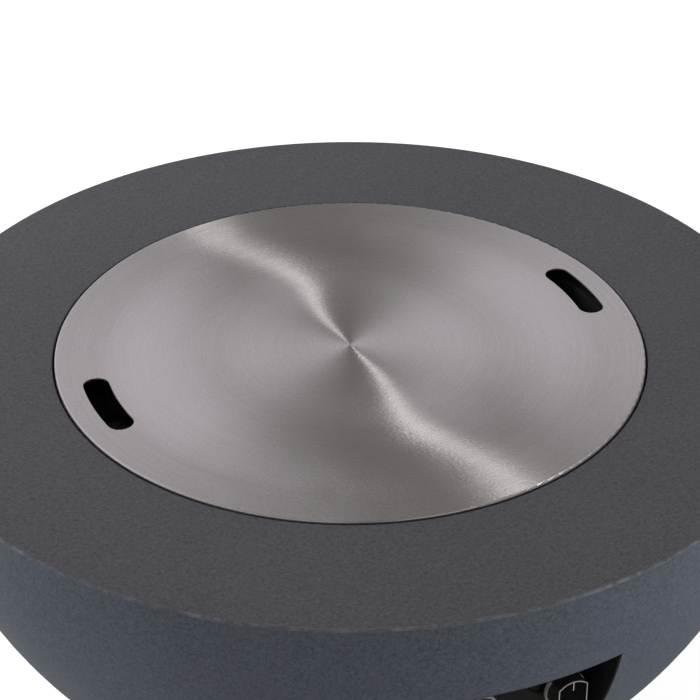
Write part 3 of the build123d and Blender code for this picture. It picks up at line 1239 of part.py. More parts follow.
# Spark electrode: ceramic sleeve whose flange stands on the shelf
with BuildPart() as spark_electrode:
    electrode_x = -SENSOR_SPREAD / 2
    ceramic_end = shelf_top - CERAMIC_BELOW_SHELF
    ceramic_top = shelf_top + CERAMIC_ABOVE_SHELF
    with BuildSketch(Plane((electrode_x, sensor_y, ceramic_end))):
        Circle(CERAMIC_RADIUS)
    extrude(amount=ceramic_top - ceramic_end)
    with BuildSketch(Plane((electrode_x, sensor_y, shelf_top))):
        Circle(CERAMIC_FLANGE_RADIUS)
    extrude(amount=CERAMIC_FLANGE)
    with BuildSketch(Plane((electrode_x, sensor_y, ceramic_end))):
        Circle(WIRE_RADIUS + RUNNING_FIT)
    extrude(amount=ceramic_top - ceramic_end, mode=Mode.SUBTRACT)
spark_electrode.part.label = "spark_electrode"
export_step(spark_electrode.part, "parts/spark_electrode.step")

# Electrode wire through the ceramic, bent over towards the burner at its tip
with BuildPart() as electrode_wire:
    wire_end = ceramic_end - WIRE_BELOW_CERAMIC
    with BuildLine() as wire_path:
        FilletPolyline(
            (electrode_x, sensor_y, wire_end),
            (electrode_x, sensor_y, ceramic_top + WIRE_RISE),
            (electrode_x, sensor_y + WIRE_REACH, ceramic_top + WIRE_RISE),
            radius=WIRE_BEND,
        )
    with BuildSketch(Plane((electrode_x, sensor_y, wire_end))):
        Circle(WIRE_RADIUS)
    sweep()
electrode_wire.part.label = "electrode_wire"
export_step(electrode_wire.part, "parts/electrode_wire.step")

# Thermocouple probe with a collar on the shelf
with BuildPart() as thermocouple:
    probe_x = SENSOR_SPREAD / 2
    probe_end = shelf_top - PROBE_BELOW_SHELF
    with BuildSketch(Plane((probe_x, sensor_y, probe_end))):
        Circle(PROBE_RADIUS)
    extrude(amount=PROBE_BELOW_SHELF + PROBE_ABOVE_SHELF)
    fillet(thermocouple.edges().filter_by(GeomType.CIRCLE).sort_by(Axis.Z)[-1], 0.8 * PROBE_RADIUS)
    with BuildSketch(Plane((probe_x, sensor_y, shelf_top))):
        RegularPolygon(PROBE_COLLAR_RADIUS, 6, major_radius=False)
    extrude(amount=PROBE_COLLAR)
thermocouple.part.label = "thermocouple"
export_step(thermocouple.part, "parts/thermocouple.step")

# Nut that holds the thermocouple's lead to the safety magnet's tail
with BuildPart() as thermocouple_nut:
    probe_nut_end = magnet_tail_end + PROBE_NUT_LENGTH
    with BuildSketch(facing_front(KNOB_OFFSET, probe_nut_end, axis_level)):
        RegularPolygon(PROBE_NUT_FLATS / 2, 6, major_radius=False)
    extrude(amount=PROBE_NUT_LENGTH)
thermocouple_nut.part.label = "thermocouple_nut"
export_step(thermocouple_nut.part, "parts/thermocouple_nut.step")

# Leads from the sensors under the pan to the safety magnet and to the igniter
probe_start = Vector(probe_x, sensor_y, probe_end)
probe_finish = Vector(KNOB_OFFSET, probe_nut_end, axis_level)
probe_route = [
    probe_start,
    part_way(probe_start, probe_finish, 0.0, 0.0, 0.55),
    part_way(probe_start, probe_finish, 0.29, 0.20, 0.90),
    part_way(probe_start, probe_finish, 0.76, 0.47, 1.0),
    part_way(probe_start, probe_finish, 1.0, 0.74, 1.0),
    probe_finish,
]
thermocouple_lead_solid = routed_tube("thermocouple lead", probe_route, PROBE_LEAD_RADIUS)
with BuildPart() as thermocouple_lead:
    add(thermocouple_lead_solid)
thermocouple_lead.part.label = "thermocouple_lead"
export_step(thermocouple_lead.part, "parts/thermocouple_lead.step")

spark_start = Vector(electrode_x, sensor_y, wire_end)
spark_finish = Vector(-IGNITER_OFFSET, barrel_rear + TERMINAL_LENGTH, axis_level)
spark_route = [
    spark_start,
    part_way(spark_start, spark_finish, 0.0, 0.0, 0.55),
    part_way(spark_start, spark_finish, 0.24, 0.16, 0.92),
    part_way(spark_start, spark_finish, 0.62, 0.49, 1.0),
    part_way(spark_start, spark_finish, 1.0, 0.72, 1.0),
    spark_finish,
]
electrode_lead_solid = routed_tube("electrode lead", spark_route, LEAD_RADIUS)
with BuildPart() as electrode_lead:
    add(electrode_lead_solid)
electrode_lead.part.label = "electrode_lead"
export_step(electrode_lead.part, "parts/electrode_lead.step")

# Lava stones in rings: on the pan's floor outside and inside the burner, and on the burner itself
stone_shape = random.Random(STONE_SEED)
burner_top = burner_level + BURNER_TUBE_RADIUS + STONE_REST_GAP
cross_top = burner_level + BURNER_CROSS_RADIUS + STONE_REST_GAP
ring_edge = BURNER_RADIUS + 2 * BURNER_TUBE_RADIUS
ring_band = (pan_inner_radius - STONE_SPACING - ring_edge) / 2
guard_reach = math.hypot(GUARD_WIDTH / 2, guard_front)
lava_stone_solids = [lava_stone(0, 0, cross_top, 0.24 * BURNER_RADIUS, TOP_STONE_HEIGHT, stone_shape)]
for inside_edge, count in ((ring_edge + ring_band, OUTER_STONE_COUNT), (ring_edge, MIDDLE_STONE_COUNT)):
    circle = inside_edge + ring_band / 2
    guard_side = (GUARD_WIDTH + ring_band) / 2 if inside_edge < guard_reach else 0.0
    lava_stone_solids += stone_ring(
        circle, ring_band / 2, pan_floor, FLOOR_STONE_HEIGHT, count, stone_shape, guard_side
    )
burner_stone_radius = 1.95 * BURNER_TUBE_RADIUS
lava_stone_solids += stone_ring(
    BURNER_RADIUS, burner_stone_radius, burner_top, TOP_STONE_HEIGHT, BURNER_STONE_COUNT, stone_shape
)
cross_circle = 0.50 * BURNER_RADIUS
lava_stone_solids += stone_ring(
    cross_circle, 0.20 * BURNER_RADIUS, cross_top, TOP_STONE_HEIGHT, CROSS_STONE_COUNT, stone_shape
)
for number in range(CORNER_STONE_COUNT):
    angle = 2 * math.pi * (number + 0.5) / CORNER_STONE_COUNT
    x = 0.47 * BURNER_RADIUS * math.cos(angle)
    y = 0.47 * BURNER_RADIUS * math.sin(angle)
    stone_height = burner_level + BURNER_CROSS_RADIUS - pan_floor
    lava_stone_solids.append(lava_stone(x, y, pan_floor, 0.22 * BURNER_RADIUS, stone_height, stone_shape))
with BuildPart() as lava_stones:
    add(lava_stone_solids)
lava_stones.part.label = "lava_stones"
export_step(lava_stones.part, "parts/lava_stones.step")
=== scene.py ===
import json
import math
import random

import bpy
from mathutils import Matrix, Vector


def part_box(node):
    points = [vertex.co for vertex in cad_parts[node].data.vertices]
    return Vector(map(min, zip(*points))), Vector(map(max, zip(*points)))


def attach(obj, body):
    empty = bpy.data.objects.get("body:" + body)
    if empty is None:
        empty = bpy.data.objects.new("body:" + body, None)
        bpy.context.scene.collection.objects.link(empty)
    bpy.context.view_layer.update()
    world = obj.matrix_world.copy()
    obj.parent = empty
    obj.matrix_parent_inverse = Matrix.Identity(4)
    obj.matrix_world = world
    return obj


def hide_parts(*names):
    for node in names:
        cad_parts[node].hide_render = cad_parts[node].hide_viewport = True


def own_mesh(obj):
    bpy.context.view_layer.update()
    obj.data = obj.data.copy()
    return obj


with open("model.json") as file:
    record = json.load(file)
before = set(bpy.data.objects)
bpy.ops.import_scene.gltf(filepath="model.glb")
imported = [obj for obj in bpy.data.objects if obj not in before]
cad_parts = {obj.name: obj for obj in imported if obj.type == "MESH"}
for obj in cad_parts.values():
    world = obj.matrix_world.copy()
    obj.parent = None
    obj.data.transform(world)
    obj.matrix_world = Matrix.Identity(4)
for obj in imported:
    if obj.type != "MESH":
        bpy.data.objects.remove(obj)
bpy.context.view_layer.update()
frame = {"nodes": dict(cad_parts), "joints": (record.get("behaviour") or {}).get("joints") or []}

bl_info = {
    "name": "Gas fire pit finishes",
    "version": (1, 0, 0),
    "blender": (4, 5, 0),
    "location": "View3D > Sidebar > Fire Pit",
    "description": "Finishes, lava stones, springs and studio for the round gas fire pit",
    "category": "Object",
}

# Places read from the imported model, in metres
RIM_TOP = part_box("bowl_shell")[1].z
RIM_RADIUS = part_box("bowl_shell")[1].x
RING_LOW, RING_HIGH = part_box("knob_ring")
KNOB_X = (RING_LOW.x + RING_HIGH.x) / 2
CONTROL_Z = (RING_LOW.z + RING_HIGH.z) / 2
KNOB_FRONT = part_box("knob")[0].y
PANEL_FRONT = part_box("control_panel")[0].y
BEZEL_LOW, BEZEL_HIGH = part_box("igniter_bezel")
IGNITER_X = (BEZEL_LOW.x + BEZEL_HIGH.x) / 2
BATTERY_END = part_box("battery")[1].y

# Concrete: depths below the rim's top and distances in from its edge, in metres, over which a look sets in
SIDE_BELOW = (0.0005, 0.0016)
# The pale line on the rim's rounded outer edge is partly rubbed wear and partly a painted highlight
WORN_HIGHLIGHT_BELOW = (0.0026, 0.0014)
WORN_HIGHLIGHT_INWARD = (0.0024, 0.0012)

# Lid: radii over which its brushing drifts off the circle and the slopes of the drift, and how far the sheet
# is bent. Its fine relief is in metres, with more at the middle.
INNER_RING, INNER_DRIFT = (0.030, 0.108), -0.0454
OUTER_RING, OUTER_DRIFT = (0.108, 0.215), 0.0865
MIDDLE_RING = (0.008, 0.040)
LID_SADDLE = 0.0886
LID_DISH = 0.13
LID_WAVE = 0.0010
SCRATCH_DEPTH = 0.00002
GLINT_DEPTH = 0.00008
MIDDLE_GLINT_DEPTH = 0.00016
GLINTS_PER_METRE = 300.0

# Strokes and threads, per metre
PANEL_STROKES = (22.0, 22.0, 2600.0)
SEAL_THREADS = (900.0, 180.0, 900.0)
HOSE_THREADS = 2400.0
HOSE_SLANT = 1.3

# Edges between two looks of one piece, in metres from its front, its axis or its end
KNOB_FLANK = (0.0002, 0.0010)
# The bezel's brighter outer edge is a painted highlight
BEZEL_HIGHLIGHT_EDGE = (0.0136, 0.0142)
BATTERY_BAND = (0.0135, 0.0130)

# Dark wedge beside the knob, in metres from the knob's axis, with the cosine and sine of its slope
WEDGE_LEFT = 0.0290
WEDGE_UP = 0.0055
WEDGE_COS, WEDGE_SIN = 0.8225, 0.5689
WEDGE_LENGTH = 0.0146
WEDGE_BOW = 0.0042
WEDGE_TIP = 0.0006
WEDGE_GROWTH = 0.0013
WEDGE_MARK_DEPTH = 0.0004

# Lava stones, modelled at size 1 and fitted to the boxes of the CAD stones
STONE_KINDS = 6
STONE_FILL = 0.97
STONE_SEED = 100
STONE_BREAKS = 7
BREAK_NEAR, BREAK_FAR = 0.34, 0.43
STONE_VOXEL = 0.055
LUMP_SIZE, LUMP_HEIGHT = 0.30, 0.16
PIT_SIZE, PIT_DEPTH = 0.13, 0.07
STONE_KEPT_FACES = 0.55
STONE_CREASE = math.radians(40)
POINT_DIGITS = 5

# Springs: piece, CAD node, the joint that presses it, radius of the wire in metres, turns
SPRINGS = (
    ("spindle_coil", "spindle_spring", "knob_push", 0.0006, 6),
    ("button_coil", "button_spring", "igniter_press", 0.0005, 4),
)
WIRE_SIDES = 12
TURN_STEPS = 40
WIRE_CREASE = math.radians(50)

# Lamps: name, place, width, height, watts, and whether it shows in shiny surfaces alone
LAMPS = (
    ("left_softbox", (-2.13, 0.545, 0.55), 1.4, 0.9, 29.5, False),
    ("right_softbox", (1.63, -1.48, 0.48), 1.4, 0.8, 40.0, False),
    ("back_softbox", (-0.772, 1.447, 1.50), 1.0, 0.8, 28.0, False),
    ("key", (1.17, 0.27, 3.06), 0.26, 0.26, 23.0, True),
)

# Camera of the photograph, in metres and in millimetres of its lens
CAMERA_PLACE = (-0.6761, -1.4939, 1.3655)
CAMERA_AIM = (0.3473, 0.7674, -0.5390)
CAMERA_LENS = 118.13
CAMERA_SENSOR = 36.0

# Floor: its inset as a share of its size, its glow, and how much of that the camera sees
FLOOR_SIDES = 96
FLOOR_INSET = 0.6
FLOOR_GLOW = 1.25
FLOOR_WHITE = 0.7
WHITE = (1.0, 1.0, 1.0)

# Pale walls left and right of the line of sight, as parts of a direction of length 1
SIGHT_X, SIGHT_Y = 0.4123, 0.9111
WALL_COS, WALL_SIN = 0.9632, 0.2689
WALL_AHEAD = 0.805
LEFT_EDGE = (0.080, 0.110)
RIGHT_EDGE = (0.01, 0.22)
RIGHT_FADE = (0.28, 0.82)
RIGHT_GAIN = 1.14
WALL_TOP = (0.97, 0.74)
NEAR_EDGE = (-0.3, -0.1)
NEAR_FOOT = (0.12, 0.35)
NEAR_GAIN = 0.6
ROOM_TINT = (1.0, 0.97, 0.91)
WALL_TINT = (1.0, 0.985, 1.03)

# Places of the colour sockets on a Mix node, and the turn that lays highlights across the brushing
MIX_FIRST, MIX_SECOND, MIX_RESULT = 6, 7, 2
QUARTER_TURN = 0.25


# Shader values


class Field:
    """One value of a finish. Python's operators add the Math nodes."""

    def __init__(self, finish, socket):
        self.finish = finish
        self.socket = socket

    def math(self, operation, *others):
        return self.finish.math(operation, self, *others)

    def __add__(self, other):
        return self.math("ADD", other)

    __radd__ = __add__

    def __mul__(self, other):
        return self.math("MULTIPLY", other)

    __rmul__ = __mul__

    def __sub__(self, other):
        return self.math("SUBTRACT", other)

    def __rsub__(self, other):
        return self.finish.math("SUBTRACT", other, self)

    def __truediv__(self, other):
        return self.math("DIVIDE", other)

    def __rtruediv__(self, other):
        return self.finish.math("DIVIDE", other, self)

    def __pow__(self, other):
        return self.math("POWER", other)

    def __gt__(self, other):
        return self.math("GREATER_THAN", other)

    def __lt__(self, other):
        return self.math("LESS_THAN", other)

    def __abs__(self):
        return self.math("ABSOLUTE")

    def within(self, low, high):
        """0 at low and 1 at high, smooth in between"""
        return self.finish.node(
            "ShaderNodeMapRange",
            {"interpolation_type": "SMOOTHSTEP"},
            {"Value": self, "From Min": low, "From Max": high},
            "Result",
        )


class Finish:
    """A node material, or the world's light, that is built up from fields"""

    def __init__(self, name, library=None, output="ShaderNodeOutputMaterial"):
        library = bpy.data.materials if library is None else library
        self.owner = library.new(name)
        self.owner.use_nodes = True
        self.tree = self.owner.node_tree
        self.tree.nodes.clear()
        self.output = self.tree.nodes.new(output)

    def node(self, kind, settings=None, sockets=None, output=0):
        """Any node: its settings first, then the values or links of its sockets. Gives the named output."""
        made = self.tree.nodes.new(kind)
        for key, value in (settings or {}).items():
            setattr(made, key, value)
        for key, value in (sockets or {}).items():
            self.feed(made.inputs[key], value)
        return Field(self, made.outputs[output])

    def feed(self, socket, value):
        if isinstance(value, Field):
            self.tree.links.new(value.socket, socket)
        elif isinstance(value, tuple) and socket.type == "RGBA":
            socket.default_value = (*value[:3], 1.0)
        else:
            socket.default_value = value

    def math(self, operation, *values):
        return self.node("ShaderNodeMath", {"operation": operation}, dict(enumerate(values)))

    def place(self, space="Object"):
        """The piece's own coordinates in metres, or another space by name"""
        return self.node("ShaderNodeTexCoord", output=space)

    def parts(self, vector):
        """The x, y and z of a vector"""
        x = self.node("ShaderNodeSeparateXYZ", sockets={"Vector": vector}, output="X")
        return tuple(Field(self, x.socket.node.outputs[axis]) for axis in "XYZ")

    def vector(self, x, y, z):
        return self.node("ShaderNodeCombineXYZ", sockets={"X": x, "Y": y, "Z": z})

    def stretched(self, parts, scales):
        """A place scaled differently along x, y and z"""
        return self.vector(*(part * scale for part, scale in zip(parts, scales)))

    def noise(self, vector, scale, detail, roughness):
        sockets = {"Vector": vector, "Scale": scale, "Detail": detail, "Roughness": roughness}
        return self.node("ShaderNodeTexNoise", sockets=sockets)

    def cells(self, vector, scale, output="Distance"):
        return self.node("ShaderNodeTexVoronoi", sockets={"Vector": vector, "Scale": scale}, output=output)

    def spots(self, vector, spacing, channel, above, core, edge):
        """Round spots in the cells whose random colour has a channel above a limit: 1 inside, 0 outside"""
        distance = self.cells(vector, 1.0 / spacing)
        random_colour = self.cells(vector, 1.0 / spacing, "Color")
        chance = self.node("ShaderNodeSeparateColor", sockets={"Color": random_colour}, output=channel)
        return (chance > above) * (1.0 - distance.within(core, edge))

    def mix(self, factor, first, second):
        """The first colour where the factor is 0, the second where it is 1"""
        settings = {"data_type": "RGBA", "clamp_factor": True}
        sockets = {"Factor": factor, MIX_FIRST: first, MIX_SECOND: second}
        return self.node("ShaderNodeMix", settings, sockets, MIX_RESULT)

    def shade(self, tint, amount):
        """A colour made darker or lighter by a value round 1"""
        grey = self.vector(amount, amount, amount)
        return self.node("ShaderNodeVectorMath", {"operation": "MULTIPLY"}, {0: tint, 1: grey})

    def bump(self, height, distance, strength=1.0, normal=None):
        sockets = {"Height": height, "Distance": distance, "Strength": strength}
        if normal:
            sockets["Normal"] = normal
        return self.node("ShaderNodeBump", sockets=sockets)

    def surface(self, **sockets):
        """The Principled shader, with its sockets by name: Base_Color stands for Base Color"""
        named = {key.replace("_", " "): value for key, value in sockets.items()}
        return self.close(self.node("ShaderNodeBsdfPrincipled", sockets=named))

    def close(self, shader):
        self.tree.links.new(shader.socket, self.output.inputs["Surface"])
        return self.owner


def dress(material, *names):
    """Gives CAD nodes their finish"""
    for name in names:
        piece = frame["nodes"][name]
        piece.data.materials.clear()
        piece.data.materials.append(material)


# Sizes and colours that a user would change


def colour(name, description, default):
    return bpy.props.FloatVectorProperty(
        name=name, description=description, default=default, size=3, min=0.0, max=1.0, subtype="COLOR"
    )


def length(name, description, default):
    return bpy.props.FloatProperty(
        name=name, description=description, default=default, min=0.0, unit="LENGTH", subtype="DISTANCE"
    )


def share(name, description, default):
    return bpy.props.FloatProperty(
        name=name, description=description, default=default, min=0.0, max=1.0, subtype="FACTOR"
    )


def brightness(name, description, default):
    return bpy.props.FloatProperty(name=name, description=description, default=default, min=0.0)


class ConcreteLook(bpy.types.PropertyGroup):
    """Cast concrete of the bowl, and its feet"""

    rim_colour: colour("Rim colour", "Colour of the flat rim", (0.060, 0.0585, 0.0655))
    # Painted light: the side takes a bluer copy of the rim's concrete colour, for how the light fell on it
    side_painted_light_colour: colour("Side colour", "Colour of the bowl's side", (0.052, 0.059, 0.074))
    # Pale edge colour: partly rubbed wear, partly a painted highlight on the rounded edge
    worn_highlight_colour: colour("Worn edge", "Colour where the rim's edge is rubbed", (0.115, 0.124, 0.140))
    sand_colour: colour("Sand", "Colour of the pale grains", (0.135, 0.138, 0.142))
    # Painted shade: the air pores are darkened inside
    pore_shade_colour: colour("Pores", "Colour inside the air pores", (0.014, 0.014, 0.016))
    foot_colour: colour("Feet", "Colour of the rubber feet", (0.016, 0.016, 0.016))
    grain: length("Grain", "Size of the sand grains", 0.0028)
    pore: length("Pore", "Spacing of the air pores", 0.011)


class LidLook(bpy.types.PropertyGroup):
    """Lid of circular brushed steel"""

    steel_colour: colour("Steel", "Colour of the lid's steel", (0.310, 0.290, 0.296))
    roughness: share("Roughness", "Roughness of the brushed face", 0.27)
    stretch: share("Brushing", "How far highlights are drawn out across the brushing", 1.0)
    groove: length("Groove", "Spacing of the brush marks", 0.0007)


class ControlLook(bpy.types.PropertyGroup):
    """Control box, panel, knob and igniter"""

    box_colour: colour("Box", "Colour of the control box's paint", (0.004, 0.004, 0.005))
    # The panel's steel is darkened as painted shade of the recess round it
    panel_shade_colour: colour("Panel", "Colour of the brushed panel", (0.0185, 0.0173, 0.0158))
    # A dark, tapered, bowed wedge on the panel beside the knob
    wedge_mark_colour: colour("Ink", "Colour of the printed wedge", (0.006, 0.006, 0.006))
    knob_colour: colour("Knob", "Colour of the knob and the button", (0.0012, 0.0012, 0.0016))
    # The knob's lighter side colour is a painted sheen
    flank_sheen_colour: colour("Knob side", "Colour of the knob's dull side", (0.026, 0.025, 0.023))
    trim_colour: colour("Trim", "Colour of the bright ring", (0.70, 0.69, 0.67))
    line_colour: colour("Line", "Colour of the line on the knob's face", (0.40, 0.39, 0.36))
    # The bezel's dark colour is a painted reflection of the dark recess
    bezel_painted_reflection_colour: colour("Bezel", "Colour of the igniter's dark bezel", (0.020, 0.020, 0.021))
    barrel_colour: colour("Barrel", "Colour of the igniter's barrel", (0.020, 0.020, 0.021))
    jacket_colour: colour("Battery", "Colour of the battery's jacket", (0.030, 0.031, 0.034))
    band_colour: colour("Battery band", "Colour of the band at the battery's end", (0.46, 0.30, 0.10))


class BurnerLook(bpy.types.PropertyGroup):
    """Pan, burner and stones"""

    pan_colour: colour("Pan", "Colour of the pan's heat-proof paint", (0.014, 0.014, 0.014))
    steel_colour: colour("Burner", "Colour of the burner's steel", (0.46, 0.44, 0.41))
    heated_colour: colour("Heated steel", "Colour where the burner was hot", (0.36, 0.27, 0.20))
    glaze_colour: colour("Glaze", "Colour of the electrode's ceramic", (0.74, 0.71, 0.66))
    fibre_colour: colour("Fibre", "Colour of the seal's pale threads", (0.78, 0.76, 0.71))
    gap_colour: colour("Fibre gaps", "Colour between the seal's threads", (0.52, 0.50, 0.46))
    stone_colour: colour("Stone", "Colour of the lava stones", (0.052, 0.043, 0.040))
    rust_colour: colour("Rust", "Colour of the stones' reddish faces", (0.105, 0.048, 0.034))
    # Painted shade: the pits are darkened inside
    pit_shade_colour: colour("Pits", "Colour inside the stones' small pits", (0.010, 0.009, 0.009))
    wide_pit_shade_colour: colour("Wide pits", "Colour inside the stones' wide pits", (0.008, 0.007, 0.007))


class GasLineLook(bpy.types.PropertyGroup):
    """Tap, hose, leads, springs and fixings"""

    alloy_colour: colour("Tap", "Colour of the tap's cast alloy", (0.46, 0.46, 0.47))
    brass_colour: colour("Brass", "Colour of the brass fittings", (0.60, 0.41, 0.16))
    dark_brass_colour: colour("Dark brass", "Colour where the brass is tarnished", (0.47, 0.29, 0.11))
    copper_colour: colour("Copper", "Colour of the thermocouple's lead", (0.62, 0.30, 0.17))
    dark_copper_colour: colour("Dark copper", "Colour where the copper is tarnished", (0.42, 0.20, 0.12))
    hose_colour: colour("Hose", "Colour of the gas hose", (0.020, 0.020, 0.021))
    lead_colour: colour("Lead", "Colour of the electrode's lead", (0.30, 0.045, 0.030))
    steel_colour: colour("Steel", "Colour of the spindle and the springs", (0.52, 0.52, 0.52))
    zinc_colour: colour("Zinc", "Colour of the screws", (0.56, 0.56, 0.55))
    dark_zinc_colour: colour("Dark zinc", "Colour where the zinc is yellowed", (0.55, 0.51, 0.40))


class StudioLook(bpy.types.PropertyGroup):
    """Floor and light"""

    floor_colour: colour("Floor", "Colour of the studio floor", (0.86, 0.86, 0.86))
    floor_size: length("Floor size", "Radius of the studio floor", 9.0)
    fill: share("Fill", "Strength of the light from all round", 0.415)
    mirrored: share("Mirrored", "Brightness of the dark surroundings in shiny surfaces", 0.42)
    walls: brightness("Walls", "How much brighter the pale side walls are in shiny surfaces", 1.03)


# Finishes. Scales are in marks per metre, depths in metres.


def concrete_finish(look):
    """Cast concrete: cloudy, sandy and pored, with the pores darkened as painted shade, the side given a
    bluer copy of the rim's colour as painted light, and a pale line on the rim's edge that is partly rubbed
    wear and partly a painted highlight
    """
    finish = Finish("cast_concrete")
    place = finish.place()
    x, y, z = finish.parts(place)
    inward = RIM_RADIUS - (x * x + y * y) ** 0.5
    below = RIM_TOP - z
    cloud = finish.noise(place, scale=7.0, detail=5.0, roughness=0.62)
    drift = finish.noise(place, scale=34.0, detail=4.0, roughness=0.55)
    grit = finish.noise(place, scale=300.0, detail=3.0, roughness=0.6)
    dust = finish.noise(place, scale=620.0, detail=2.0, roughness=0.6)
    # Painted light: below the rim's top, the same concrete is given a bluer tint
    side = below.within(*SIDE_BELOW)
    body = finish.mix(side, tuple(look.rim_colour), tuple(look.side_painted_light_colour))
    body = finish.shade(body, cloud * 0.26 + drift * 0.20 + grit * 1.1 + dust * 1.3 - 0.43)
    sand = finish.spots(place, look.grain, "Red", above=0.86, core=0.10, edge=0.24)
    body = finish.mix(sand * 0.55, body, tuple(look.sand_colour))
    # Painted shade: the pores are darkened inside, as well as sunk in the bump
    pore = finish.spots(place, look.pore, "Green", above=0.80, core=0.03, edge=0.085)
    body = finish.mix(pore * 0.6, body, tuple(look.pore_shade_colour))
    # Painted highlight and wear: a pale line round the rim's rounded outer edge, broken up by chips
    edge = inward.within(*WORN_HIGHLIGHT_INWARD) * below.within(*WORN_HIGHLIGHT_BELOW)
    chips = finish.noise(place, scale=95.0, detail=5.0, roughness=0.75)
    rubbed = edge * (chips.within(0.42, 0.66) * 0.85 + 0.15)
    body = finish.mix(rubbed, body, tuple(look.worn_highlight_colour))
    height = grit * 0.5 + dust * 0.25 + drift * 0.6 - pore * 0.9
    relief = finish.bump(height, distance=0.0007, strength=0.55)
    dull = 0.60 + drift * 0.2 + dust * 0.1
    return finish.surface(Base_Color=body, Roughness=dull, Specular_IOR_Level=0.25, Normal=relief)


def brushed_disc_finish(look):
    """Steel brushed in circles, with highlights drawn out from the middle to the edge"""
    finish = Finish("circular_brushed_steel")
    place = finish.place()
    x, y, _ = finish.parts(place)
    radius = (x * x + y * y + 0.000001) ** 0.5
    groove = radius / look.groove

    def marks(cuts, closeness, detail, roughness):
        """Brush marks round the circle: how often they are cut off, and how close they lie"""
        ring_place = finish.vector(x / radius * cuts, y / radius * cuts, groove * closeness)
        return finish.noise(ring_place, 1.0, detail, roughness)

    long_mark = marks(cuts=1.6, closeness=1.0, detail=3.0, roughness=0.65)
    short_mark = marks(cuts=14.0, closeness=1.7, detail=2.0, roughness=0.6)
    band = marks(cuts=1.0, closeness=0.3, detail=2.0, roughness=0.6)
    mark = long_mark * 0.6 + short_mark * 0.4
    body = finish.shade(tuple(look.steel_colour), 0.80 + mark * 0.28 + band * 0.12)
    rough = look.roughness - 0.05 + mark * 0.10
    # The brushing drifts a few degrees off the circle, one way near the middle and the other further out
    drift = radius.within(*INNER_RING) * INNER_DRIFT + radius.within(*OUTER_RING) * OUTER_DRIFT
    wave = finish.noise(place, scale=11.0, detail=1.5, roughness=0.5)
    height = x * (drift - y * LID_SADDLE) + radius * radius * LID_DISH + wave * LID_WAVE
    dish = finish.bump(height, distance=1.0)
    # Short glints break up the streak, more so at the middle, where the circles are too small to brush evenly
    glint_place = finish.vector(x * GLINTS_PER_METRE, y * GLINTS_PER_METRE, groove * 0.64)
    glint = finish.noise(glint_place, 1.0, detail=1.0, roughness=0.5)
    middle = 1.0 - radius.within(*MIDDLE_RING)
    scratches = mark * SCRATCH_DEPTH + glint * (middle * MIDDLE_GLINT_DEPTH + GLINT_DEPTH)
    relief = finish.bump(scratches, distance=1.0, normal=dish)
    return finish.surface(
        Base_Color=body,
        Metallic=1.0,
        Roughness=rough,
        Anisotropic=look.stretch,
        Anisotropic_Rotation=QUARTER_TURN,
        Normal=relief,
    )


def panel_finish(look):
    """Steel brushed from side to side, darkened as painted shade of the recess, with one tapered, bowed dark
    wedge beside the knob
    """
    finish = Finish("brushed_panel_steel")
    x, y, z = finish.parts(finish.place())
    stroke_place = finish.stretched((x, y, z), PANEL_STROKES)
    stroke = finish.noise(stroke_place, 1.0, detail=3.0, roughness=0.65)
    # Painted shade: the panel's colour is kept dark for the recess's shade
    body = finish.shade(tuple(look.panel_shade_colour), 0.45 + stroke * 1.1)
    across = x - (KNOB_X - WEDGE_LEFT)
    up = z - (CONTROL_Z + WEDGE_UP)
    along = (across * WEDGE_COS - up * WEDGE_SIN) / WEDGE_LENGTH
    aside = across * WEDGE_SIN + up * WEDGE_COS + along * (1.0 - along) * WEDGE_BOW
    wedge = (abs(aside) < WEDGE_TIP + along * WEDGE_GROWTH) * (along > 0.0) * (along < 1.0)
    # The dark wedge covers only the panel's front face
    wedge_mark = wedge * (y < PANEL_FRONT + WEDGE_MARK_DEPTH)
    body = finish.mix(wedge_mark, body, tuple(look.wedge_mark_colour))
    rough = 0.34 + stroke * 0.16 + wedge_mark * 0.2
    relief = finish.bump(stroke, distance=0.00005, strength=0.5)
    return finish.surface(
        Base_Color=body,
        Metallic=1.0 - wedge_mark,
        Roughness=rough,
        Specular_IOR_Level=0.05,
        Anisotropic=0.6,
        Anisotropic_Rotation=QUARTER_TURN,
        Normal=relief,
    )


def knob_finish(look):
    """Black knob: plain on the face, with a dull moulded grain round the side, which is also painted lighter
    as a painted sheen
    """
    finish = Finish("knob_black")
    place = finish.place()
    _, y, _ = finish.parts(place)
    flank = (y - KNOB_FRONT).within(*KNOB_FLANK)
    fine = finish.noise(place, scale=1200.0, detail=2.0, roughness=0.55)
    wide = finish.noise(place, scale=70.0, detail=3.0, roughness=0.6)
    # Painted sheen: the knob's side is painted lighter than its face; its duller roughness and grain are its
    # own
    body = finish.mix(flank, tuple(look.knob_colour), tuple(look.flank_sheen_colour))
    body = finish.shade(body, 0.80 + fine * 0.25 + wide * 0.15)
    dull = 0.36 + flank * 0.16 + fine * 0.06
    relief = finish.bump(fine, distance=0.00003, strength=0.6)
    return finish.surface(Base_Color=body, Roughness=dull, Specular_IOR_Level=0.02, Normal=relief)


def bezel_finish(look):
    """Polished bezel painted dark as a painted reflection of the dark recess, with a painted highlight on its
    outer edge
    """
    finish = Finish("bezel_painted_highlight")
    place = finish.place()
    x, _, z = finish.parts(place)
    across = x - IGNITER_X
    up = z - CONTROL_Z
    # Painted highlight: the bezel's outer edge is mixed a quarter of the way towards the trim's colour
    bright = ((across * across + up * up) ** 0.5).within(*BEZEL_HIGHLIGHT_EDGE) * 0.25
    fine = finish.noise(place, scale=1400.0, detail=2.0, roughness=0.5)
    body = finish.mix(bright, tuple(look.bezel_painted_reflection_colour), tuple(look.trim_colour))
    body = finish.shade(body, 0.90 + fine * 0.2)
    return finish.surface(Base_Color=body, Metallic=0.4 + bright * 0.4, Roughness=0.20 + fine * 0.1)


